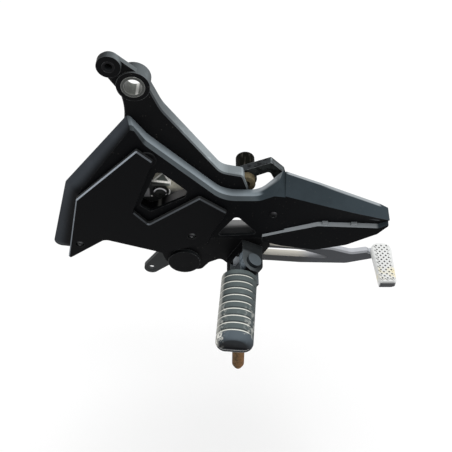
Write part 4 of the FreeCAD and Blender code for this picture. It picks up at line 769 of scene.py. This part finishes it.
def rust_finish(name, dark, light):
    """Rough rust in two tones, lighter at its front as painted light, with pale specks."""
    material, tree, shader = finish(name, 0.85, 0.1)
    grain = use(tree, "grain", Fine=1100.0, Slow=260.0)
    # Painted light: lighter on the side that looks forward
    front = span(tree, facing(tree)["X"], -0.4, 0.5, 0.0, 0.45)
    tone = mixed(tree, calc(tree, "ADD", part_of(tree, grain["Tone"], 0.55), front), dark, light)
    specks = use(tree, "speckle", Scale=700.0, Size=0.3, Share=0.35)["Mask"]
    connect(tree, shader.inputs["Base Color"], mixed(tree, part_of(tree, specks, 0.25), tone, RUST_SPECK))
    bump(tree, shader, grain["Height"], 0.7, 0.0004)
    return material


def collar_finish(colours):
    """Dark oily collar with streaks along its axis."""
    material, tree, shader = finish("oily_collar", 0.5, 0.01)
    stretched = add(tree, "ShaderNodeMapping", {"Vector": place(tree), "Scale": (1.0, 0.15, 1.0)}).outputs[0]
    streaks = span(tree, noise(tree, stretched, 420.0, 4.0), 0.5, 0.72)
    connect(tree, shader.inputs["Base Color"], mixed(tree, part_of(tree, streaks, 0.12), OIL, colours.dust))
    return material


def bush_finish():
    """Turned bush with painted light: a face darkened with painted shade between edges with painted
    highlights, and a grey wall under painted sky light with one painted highlight streak.
    """
    material, tree, shader = finish("bore_steel", 0.3, 0.3)
    # Painted sky light on the bore's wall, a painted highlight streak, painted shade on the face that looks
    # outboard, painted highlights on its edges
    wall = use(tree, "painted_sky_light", Lean=0.0, Rise=1.0, Power=1.0, Scale=200.0, Evenness=0.6)["Mask"]
    tone = mixed(tree, wall, BORE_SHADE, BORE_SKY)
    tone = mixed(tree, spot(tree, "bore_highlight_streak"), tone, BORE_STREAK_HIGHLIGHT)
    tone = mixed(tree, span(tree, facing_out(tree), 0.6, 0.9), tone, BORE_FACE_SHADE)
    worn = use(tree, "edge_wear_and_highlight", Width=0.0007, Breakup=400.0, Hold=0.7)["Mask"]
    connect(tree, shader.inputs["Base Color"], mixed(tree, worn, tone, BORE_EDGE_HIGHLIGHT))
    return material


def bracket_finish():
    """Plated bracket: greenish lip with painted highlights on its edges and painted shade below it, brownish
    at its front, with a painted highlight sweep round the dome and one painted glint.
    """
    material, tree, shader = finish("bracket_plate", 0.4, 0.05)
    streaky = span(tree, noise(tree, place(tree), 320.0, 4.0), 0.35, 0.6, 0.8, 1.0)
    front, rear, fold = (dot(tree, offset(tree, point), away) for point, away in LIP_LINES.values())
    # Painted highlights along the lip's edges, painted shade under its fold
    edges = greatest(tree, FRONT_HIGHLIGHT(tree, front), REAR_HIGHLIGHT(tree, rear), FOLD_HIGHLIGHT(tree, fold))
    bright = all_of(tree, edges, streaky, HIGHLIGHT_END(tree, fold))
    lip_tone = mixed(tree, CREAM_REAR(tree, rear), LIP_GREEN, LIP_CREAM)
    lip_tone = mixed(tree, bright, lip_tone, LIP_HIGHLIGHT)
    lip_tone = mixed(tree, SHADE_BELOW_FOLD(tree, fold), lip_tone, LIP_UNDER_SHADE)
    plate = mixed(tree, spot(tree, "bracket_front"), BRACKET_SHADE, BRACKET_FRONT)
    plate = mixed(tree, spot(tree, "bracket_rear"), plate, BRACKET_REAR)
    plate = mixed(tree, all_of(tree, spot(tree, "bracket_brown"), streaky), plate, BRACKET_BROWN)
    # Painted highlight on a sweep round the dome and a painted glint
    sweep = all_of(tree, SWEEP_HIGHLIGHT(tree, from_axis(tree, DOME_PLACE)), spot(tree, "bracket_sweep"))
    bracket_glint_mask = GLINT_ON_BRACKET(tree, from_axis(tree, BRACKET_GLINT))
    plate = mixed(tree, greatest(tree, sweep, bracket_glint_mask), plate, BRACKET_HIGHLIGHT)
    plate = mixed(tree, span(tree, facing_out(tree), 0.3, 0.7), BRACKET_BACK, plate)
    lip = spot(tree, "bracket_lip")
    connect(tree, shader.inputs["Base Color"], mixed(tree, lip, plate, lip_tone))
    connect(tree, shader.inputs["Metallic"], all_of(tree, lip, bright))
    return material


def dome_finish():
    """Dark domed bolt with painted sky light, a painted highlight ring over its upper half and one painted
    glint.
    """
    material, tree, shader = finish("dome_steel", 0.45, 0.05)
    sky_lit = use(tree, "painted_sky_light", Lean=0.3, Rise=0.95, Power=1.0, Scale=110.0, Evenness=0.75)["Mask"]
    # Painted highlight ring over the dome's top and a painted glint
    ring = all_of(tree, DOME_RING_HIGHLIGHT(tree, from_axis(tree, DOME_PLACE)), spot(tree, "dome_top"))
    dome_glint_mask = GLINT_ON_DOME(tree, from_axis(tree, DOME_GLINT))
    tone = mixed(tree, greatest(tree, ring, dome_glint_mask), mixed(tree, sky_lit, DOME_SHADE, DOME_SKY), DOME_HIGHLIGHT)
    connect(tree, shader.inputs["Base Color"], tone)
    return material


def rubber_finish(colours):
    """Dusty rubber with a painted sky sheen on top and painted shade beside each groove, a thin pale line
    along each groove, scuffs towards its end and a smooth end face.
    """
    material, tree, shader = finish("peg_rubber", 0.6, 0.08)
    along = dot(tree, offset(tree, PEG_HINGE), PEG_AXIS)
    across = dot(tree, offset(tree, PEG_HINGE), PEG_SIDE)
    half = GROOVE_PITCH / 2
    from_first = calc(tree, "SUBTRACT", along, GROOVE_FIRST)
    wrapped = calc(tree, "FLOORED_MODULO", calc(tree, "ADD", from_first, half), GROOVE_PITCH)
    past_groove = calc(tree, "SUBTRACT", wrapped, half)
    inside = all_of(tree, calc(tree, "GREATER_THAN", from_first, -half),
                    calc(tree, "LESS_THAN", from_first, GROOVE_PITCH * (GROOVE_COUNT - 1) + half))
    reach = GROOVE_REACH(tree, across)
    line = all_of(tree, GROOVE_LINE(tree, past_groove), inside, reach)
    shade = all_of(tree, GROOVE_SHADE(tree, past_groove), inside, reach)
    # Dust and painted sky sheen on faces that look up, in its own tone at the end; painted shade beside each
    # groove
    sky_lit = use(tree, "painted_sky_light", Lean=0.15, Rise=0.98, Power=0.8, Scale=140.0, Evenness=0.8)["Mask"]
    sheen = mixed(tree, SMOOTH_END(tree, along), colours.rubber_dust_and_sheen, RUBBER_END_SHEEN)
    tone = mixed(tree, sky_lit, colours.rubber, sheen)
    tone = mixed(tree, part_of(tree, shade, 0.45), tone, colours.rubber)
    patchy = span(tree, noise(tree, place(tree), 260.0, 6.0), 0.48, 0.62)
    sides = SCUFF_SIDES(tree, calc(tree, "ABSOLUTE", across))
    scuffed = all_of(tree, sides, SCUFF_START(tree, along), inside, patchy)
    corner = all_of(tree, CORNER_END(tree, along), patchy, CORNER_SIDE(tree, across))
    pale = greatest(tree, part_of(tree, scuffed, 0.35), corner, RUBBED_EDGE(tree, across))
    off_end = span(tree, facing_out(tree), 0.9, 0.97, 1.0, 0.2)
    tone = mixed(tree, all_of(tree, pale, off_end), tone, colours.cream)
    connect(tree, shader.inputs["Base Color"], mixed(tree, line, tone, colours.cream))
    bump(tree, shader, use(tree, "grain", Fine=800.0)["Height"], 0.3, 0.0002)
    return material


def chrome_finish(colours):
    """Plating with painted reflections of the sky above and of dark ground outboard, cream near the pivot."""
    material, tree, shader = finish("chrome_plating", 0.3, 0.3)
    # Painted reflection: sky on faces that look up, ground elsewhere, cream and darker near the pivot
    sky_lit = use(tree, "painted_sky_light", Lean=0.0, Rise=1.0, Power=1.2, Scale=50.0, Evenness=0.85)["Mask"]
    warm = spot(tree, "pedal_pivot")
    sky = mixed(tree, warm, colours.chrome, CHROME_CREAM_REFLECTION)
    shade = mixed(tree, warm, colours.chrome_ground_reflection, CHROME_DARK_REFLECTION)
    connect(tree, shader.inputs["Base Color"], mixed(tree, sky_lit, shade, sky))
    return material


def tread_finish(colours):
    """Cast bright tread with a yellowish stain near its outboard end, and painted shade on that end's face.
    """
    material, tree, shader = finish("tread_metal", 0.4, 0.3)
    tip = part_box("pedal_pad")[0].y
    end = STAIN_REACH(tree, calc(tree, "SUBTRACT", spread(tree)["Y"], tip))
    blotch = span(tree, noise(tree, place(tree), 140.0, 4.0), 0.38, 0.62)
    tone = mixed(tree, all_of(tree, end, blotch), colours.tread, colours.stain)
    # Painted shade on the end face that looks outboard
    shaded = span(tree, facing_out(tree), 0.5, 0.9)
    connect(tree, shader.inputs["Base Color"], mixed(tree, shaded, tone, TREAD_END_SHADE))
    return material


def pit_finish():
    """Painted shade in the tread's pits, in two greys that change in slow patches."""
    material, tree, shader = finish("tread_pit_shade", 0.8, 0.05)
    grain = use(tree, "grain", Fine=900.0, Slow=300.0)
    connect(tree, shader.inputs["Base Color"], mixed(tree, grain["Tone"], PIT_SHADE, PIT_PALE))
    return material


def dress(names, material):
    """One finish on several CAD pieces."""
    for name in names:
        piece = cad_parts[name]
        piece.data.materials.clear()
        piece.data.materials.append(material)


# Tread

def tread_nodes(top, pit):
    """Geometry nodes that lay diamond cells with a pit each on a staggered grid."""
    tree = bpy.data.node_groups.new("tread_cells", "GeometryNodeTree")
    face = tree.interface
    face.new_socket(name="Geometry", in_out="INPUT", socket_type="NodeSocketGeometry")
    for label in ("Pitch", "Height"):
        face.new_socket(name=label, in_out="INPUT", socket_type="NodeSocketFloat")
    for label in ("Columns", "Rows"):
        face.new_socket(name=label, in_out="INPUT", socket_type="NodeSocketInt")
    face.new_socket(name="Geometry", in_out="OUTPUT", socket_type="NodeSocketGeometry")
    given = add(tree, "NodeGroupInput").outputs
    cell = add(tree, "GeometryNodeMeshCircle", {
        "Vertices": 4, "Radius": calc(tree, "MULTIPLY", given["Pitch"], 0.5)}, fill_type="NGON").outputs[0]
    rim = add(tree, "GeometryNodeExtrudeMesh", {"Mesh": cell, "Offset Scale": 0.0})
    rim_in = add(tree, "GeometryNodeScaleElements", {
        "Geometry": rim.outputs["Mesh"], "Selection": rim.outputs["Top"], "Scale": PIT_SHARE})
    drop = add(tree, "ShaderNodeCombineXYZ", {"Z": calc(tree, "MULTIPLY", given["Height"], -1.0)}).outputs[0]
    sunk = add(tree, "GeometryNodeExtrudeMesh", {
        "Mesh": rim_in.outputs[0], "Selection": rim.outputs["Top"], "Offset": drop, "Offset Scale": 1.0})
    floor = add(tree, "GeometryNodeScaleElements", {
        "Geometry": sunk.outputs["Mesh"], "Selection": sunk.outputs["Top"], "Scale": PIT_FLOOR_SHARE})
    dark = calc(tree, "MAXIMUM", sunk.outputs["Top"], sunk.outputs["Side"])
    marked = add(tree, "GeometryNodeStoreNamedAttribute", {
        "Geometry": floor.outputs[0], "Name": PIT_MARK, "Value": dark}, data_type="BOOLEAN", domain="FACE")
    both = add(tree, "GeometryNodeJoinGeometry")
    for fewer in (0, 1):
        tree.links.new(grid_points(tree, given, fewer), both.inputs[0])
    laid = add(tree, "GeometryNodeInstanceOnPoints", {
        "Points": both.outputs[0], "Instance": marked.outputs[0]})
    real = add(tree, "GeometryNodeRealizeInstances", {"Geometry": laid.outputs[0]})
    joined = add(tree, "GeometryNodeMergeByDistance", {"Geometry": real.outputs[0], "Distance": TREAD_WELD})
    faces = add(tree, "GeometryNodeInputMeshEdgeNeighbors").outputs[0]
    open_edge = add(tree, "FunctionNodeCompare", {"A": faces, "B": 1}, data_type="INT", operation="EQUAL")
    skirt = add(tree, "GeometryNodeExtrudeMesh", {
        "Mesh": joined.outputs[0], "Selection": open_edge.outputs[0], "Offset": drop, "Offset Scale": 1.0},
        mode="EDGES")
    bright = add(tree, "GeometryNodeSetMaterial", {"Geometry": skirt.outputs[0], "Material": top})
    in_pit = add(tree, "GeometryNodeInputNamedAttribute", {"Name": PIT_MARK}, data_type="BOOLEAN")
    done = add(tree, "GeometryNodeSetMaterial", {
        "Geometry": bright.outputs[0], "Selection": in_pit.outputs[0], "Material": pit})
    add(tree, "NodeGroupOutput", {"Geometry": done.outputs[0]})
    return tree


def grid_points(tree, given, fewer):
    """Points of one of the two grids, the second one smaller by a row and a column."""
    counts = [calc(tree, "SUBTRACT", given[label], fewer) for label in ("Columns", "Rows")]
    sizes = [calc(tree, "MULTIPLY", calc(tree, "SUBTRACT", count, 1), given["Pitch"]) for count in counts]
    return add(tree, "GeometryNodeMeshGrid", {
        "Size X": sizes[0], "Size Y": sizes[1], "Vertices X": counts[0], "Vertices Y": counts[1]}).outputs[0]


def grown(name, tree, values):
    """Plain mesh object from a geometry tree, with its inputs set by name."""
    seed = bpy.data.objects.new(name + "_seed", bpy.data.meshes.new(name + "_seed"))
    bpy.context.scene.collection.objects.link(seed)
    modifier = seed.modifiers.new("grow", "NODES")
    modifier.node_group = tree
    for item in tree.interface.items_tree:
        if item.in_out == "INPUT" and item.name in values:
            modifier[item.identifier] = values[item.name]
    graph = bpy.context.evaluated_depsgraph_get()
    mesh = bpy.data.meshes.new_from_object(seed.evaluated_get(graph))
    mesh.name = name
    mesh.attributes.remove(mesh.attributes[PIT_MARK])
    bpy.data.objects.remove(seed)
    made = bpy.data.objects.new(name, mesh)
    bpy.context.scene.collection.objects.link(made)
    return made


# Rubber

def rubber_stations():
    """Places along the peg where the rubber's section is drawn, each with its cut-back and groove depth."""
    start, end = PEG_START + RUBBER_HEEL, PEG_END - RUBBER_ROUND
    stations = []
    for step in range(HEEL_STEPS + 1):
        turn = math.pi / 2 * (1 - step / HEEL_STEPS)
        stations.append((start - RUBBER_HEEL * math.sin(turn), RUBBER_HEEL * (1 - math.cos(turn)), 0.0))
    count = round((end - start) / RUBBER_STEP)
    for step in range(1, count):
        along = start + (end - start) * step / count
        number = min(max(round((along - GROOVE_FIRST) / GROOVE_PITCH), 0), GROOVE_COUNT - 1)
        away = abs(along - GROOVE_FIRST - number * GROOVE_PITCH)
        stations.append((along, 0.0, GROOVE_DEPTH * max(0.0, 1 - (away / GROOVE_HALF_WIDTH) ** 2)))
    for step in range(ROUND_STEPS + 1):
        turn = math.pi / 2 * step / ROUND_STEPS
        stations.append((end + RUBBER_ROUND * math.sin(turn), RUBBER_ROUND * (1 - math.cos(turn)), 0.0))
    return stations


def rubber_shape():
    """Points and faces of a bar with a round back, shallow grooves across it and rounded ends."""
    low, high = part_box("peg_rubber")
    points, faces = [], []
    ring = RUBBER_SIDES + 1
    for along, cut, groove in rubber_stations():
        for step in range(ring):
            turn = math.pi * (step / RUBBER_SIDES - 0.5)
            cut_in = min(1.0, GROOVE_RUN_IN * max(0.0, math.cos(turn) - GROOVE_RUN_OUT))
            reach = 1 - groove / RUBBER_HALF_WIDTH * cut_in
            half_width = (RUBBER_HALF_WIDTH - cut) * reach
            height = (high.z - low.z - cut * RUBBER_TOP_SHARE) * reach
            side = math.copysign(abs(math.sin(turn)) ** RUBBER_FULLNESS, turn) * half_width
            rise = max(0.0, math.cos(turn)) ** RUBBER_FULLNESS * height
            point = PEG_HINGE + PEG_AXIS * along + PEG_SIDE * side
            points.append((point.x, point.y, low.z + rise))
    total = len(points) // ring
    for row in range(total - 1):
        for step in range(ring):
            ends = (step, (step + 1) % ring)
            faces.append((row * ring + ends[0], row * ring + ends[1],
                          (row + 1) * ring + ends[1], (row + 1) * ring + ends[0]))
    faces.append(tuple(reversed(range(ring))))
    faces.append(tuple(range((total - 1) * ring, total * ring)))
    return points, faces


def solid_piece(name, points, faces, material):
    """Closed mesh object with outward faces, smooth but for its sharp edges."""
    mesh = bpy.data.meshes.new(name)
    mesh.from_pydata(points, [], faces)
    shell = bmesh.new()
    shell.from_mesh(mesh)
    bmesh.ops.recalc_face_normals(shell, faces=shell.faces)
    shell.to_mesh(mesh)
    shell.free()
    mesh.shade_smooth()
    mesh.set_sharp_from_angle(angle=SHARP_ANGLE)
    mesh.materials.append(material)
    made = bpy.data.objects.new(name, mesh)
    bpy.context.scene.collection.objects.link(made)
    return made


# Return spring

def stretch_spring(material):
    """Return spring between its post on the casting and its pin on the pedal, welded from the solid part's
    mesh and shown in its place.
    """
    source = bmesh.new()
    source.from_mesh(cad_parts["return_spring"].data)
    bmesh.ops.remove_doubles(source, verts=source.verts, dist=NODE_WELD)
    source.verts.index_update()
    points = [tuple(vertex.co) for vertex in source.verts]
    faces = [tuple(vertex.index for vertex in face.verts) for face in source.faces]
    source.free()
    spring = solid_piece("stretched_return_spring", points, faces, material)
    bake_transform(spring)
    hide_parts("return_spring")


# Operators

class HANGER_OT_casting(bpy.types.Operator):
    """Paint the casting"""

    bl_idname = "hanger.casting"
    bl_label = "Paint casting"

    def execute(self, context):
        looks = context.scene
        dress(["hanger_casting"], casting_paint(looks.hanger_colours, looks.hanger_sizes))
        return {"FINISHED"}


class HANGER_OT_covers(bpy.types.Operator):
    """Finish the moulded cover and the heel plate"""

    bl_idname = "hanger.covers"
    bl_label = "Finish covers"

    def execute(self, context):
        colours, sizes = context.scene.hanger_colours, context.scene.hanger_sizes
        dress(["outer_cover"], cover_finish(colours, sizes))
        dress(["heel_plate"], plate_finish(colours, sizes))
        return {"FINISHED"}


class HANGER_OT_fittings(bpy.types.Operator):
    """Finish bushes, fasteners, pins and springs"""

    bl_idname = "hanger.fittings"
    bl_label = "Finish fittings"

    def execute(self, context):
        colours = context.scene.hanger_colours
        metals = {}
        for slot, (roughness, dirt, dirt_share) in METALS.items():
            metals[slot] = steel_finish(slot, getattr(colours, slot), roughness, dirt, dirt_share)
            dress(STEEL_NODES[slot], metals[slot])
        dress(["upper_bush"], bush_finish())
        dress(["cylinder_bracket"], bracket_finish())
        for name, (piece, slot, shade, sky, power) in DULL_STEELS.items():
            dress([piece], dull_finish(name, shade, sky, power))
        dress(["dome_bolt"], dome_finish())
        dress(["lug_bush"], rust_finish("old_rust", LUG_RUST_SHADE, LUG_RUST_PALE))
        fresh_rust = rust_finish("fresh_rust", colours.old_rust, colours.rust)
        dress(["peg_feeler", "feeler_nut"], fresh_rust)
        dress(["lug_collar"], collar_finish(colours))
        stretch_spring(metals["spring_steel"])
        return {"FINISHED"}


class HANGER_OT_peg(bpy.types.Operator):
    """Finish the folding peg"""

    bl_idname = "hanger.peg"
    bl_label = "Finish peg"

    def execute(self, context):
        colours = context.scene.hanger_colours
        dress(["peg_core"], core_finish())
        rubber = solid_piece("peg_round_rubber", *rubber_shape(), rubber_finish(colours))
        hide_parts("peg_rubber")
        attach(rubber, "footpeg")
        return {"FINISHED"}


class HANGER_OT_pedal(bpy.types.Operator):
    """Finish the brake pedal and lay its tread"""

    bl_idname = "hanger.pedal"
    bl_label = "Finish pedal"

    def execute(self, context):
        colours, sizes = context.scene.hanger_colours, context.scene.hanger_sizes
        dress(["pedal_arm"], chrome_finish(colours))
        lever = dull_finish("lever_steel", LEVER_SHADE, LEVER_SKY, 1.0)
        dress(["rod_lever", "pedal_hub"], lever)
        dress(["spring_pin"], bpy.data.materials["plated_steel"])
        top = tread_finish(colours)
        dress(["pedal_pad"], top)
        low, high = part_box("pedal_pad")
        room = high - low - Vector((2, 2, 0)) * sizes.tread_margin
        values = {
            "Pitch": sizes.tread_pitch,
            "Height": sizes.tread_height,
            "Columns": int(room.x / sizes.tread_pitch),
            "Rows": int(room.y / sizes.tread_pitch),
        }
        tread = grown("pedal_tread", tread_nodes(top, pit_finish()), values)
        middle = (low + high) / 2
        for vertex in tread.data.vertices:
            vertex.co += Vector((middle.x, middle.y, high.z + sizes.tread_height))
        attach(tread, "pedal")
        return {"FINISHED"}


class HANGER_OT_stage(bpy.types.Operator):
    """Set floor, light and camera"""

    bl_idname = "hanger.stage"
    bl_label = "Set stage"

    def execute(self, context):
        scene = context.scene
        level = CAD_BOX[0].z - scene.hanger_sizes.floor_drop
        floor_mesh = bpy.data.meshes.new("floor")
        corners = [(FLOOR_HALF * x, FLOOR_HALF * y, level) for x, y in ((-1, -1), (1, -1), (1, 1), (-1, 1))]
        floor_mesh.from_pydata(corners, [], [(0, 1, 2, 3)])
        floor = bpy.data.objects.new("floor", floor_mesh)
        scene.collection.objects.link(floor)
        material, tree, shader = finish("studio_floor", 0.9, 0.0)
        shader.inputs["Base Color"].default_value = rgba(scene.hanger_colours.floor)
        floor_mesh.materials.append(material)
        lamp = bpy.data.lights.new("overhead", "SUN")
        lamp.energy = SUN_STRENGTH
        lamp.angle = SUN_SPREAD
        sun = bpy.data.objects.new("overhead", lamp)
        sun.rotation_euler = SUN_TURN
        scene.collection.objects.link(sun)
        build_world(scene)
        data = bpy.data.cameras.new("camera")
        data.sensor_width = CAMERA_SENSOR
        data.lens = CAMERA_LENS
        data.clip_end = CAMERA_REACH
        camera = bpy.data.objects.new("camera", data)
        camera.location = CAMERA_PLACE
        camera.rotation_euler = (math.pi / 2 - CAMERA_ELEVATION, 0, 0)
        scene.collection.objects.link(camera)
        scene.camera = camera
        scene.view_settings.view_transform = "Standard"
        return {"FINISHED"}


def build_world(scene):
    """White surroundings to look at, and a softer level of light from them."""
    world = bpy.data.worlds.new("studio")
    world.use_nodes = True
    tree = world.node_tree
    path = add(tree, "ShaderNodeLightPath").outputs
    seen = calc(tree, "MAXIMUM", path["Is Camera Ray"], path["Is Glossy Ray"])
    seen = calc(tree, "MAXIMUM", seen, path["Is Transmission Ray"])
    strength = add(tree, "ShaderNodeMapRange", {"Value": seen, "To Min": WORLD_LEVEL, "To Max": 1.0})
    background = tree.nodes["Background"]
    background.inputs["Color"].default_value = (1, 1, 1, 1)
    connect(tree, background.inputs["Strength"], strength.outputs[0])
    scene.world = world


class HANGER_PT_panel(bpy.types.Panel):
    """Colours, sizes and steps of the footrest hanger"""

    bl_label = "Footrest hanger"
    bl_idname = "HANGER_PT_panel"
    bl_space_type = "VIEW_3D"
    bl_region_type = "UI"
    bl_category = "Hanger"

    def draw(self, context):
        for group in (context.scene.hanger_colours, context.scene.hanger_sizes):
            for name in group.bl_rna.properties.keys():
                if name not in ("rna_type", "name"):
                    self.layout.prop(group, name)
        for step in STEPS:
            self.layout.operator(step.bl_idname)


STEPS = (
    HANGER_OT_casting, HANGER_OT_covers, HANGER_OT_fittings, HANGER_OT_peg, HANGER_OT_pedal, HANGER_OT_stage,
)
CLASSES = (HangerColours, HangerSizes, *STEPS, HANGER_PT_panel)


def register():
    for item in CLASSES:
        bpy.utils.register_class(item)
    bpy.types.Scene.hanger_colours = bpy.props.PointerProperty(type=HangerColours)
    bpy.types.Scene.hanger_sizes = bpy.props.PointerProperty(type=HangerSizes)


def unregister():
    del bpy.types.Scene.hanger_sizes
    del bpy.types.Scene.hanger_colours
    for item in reversed(CLASSES):
        bpy.utils.unregister_class(item)


def main():
    register()
    build_groups()
    bpy.ops.hanger.casting()
    bpy.ops.hanger.covers()
    bpy.ops.hanger.fittings()
    bpy.ops.hanger.peg()
    bpy.ops.hanger.pedal()
    bpy.ops.hanger.stage()


if __name__ == "__main__":
    main()
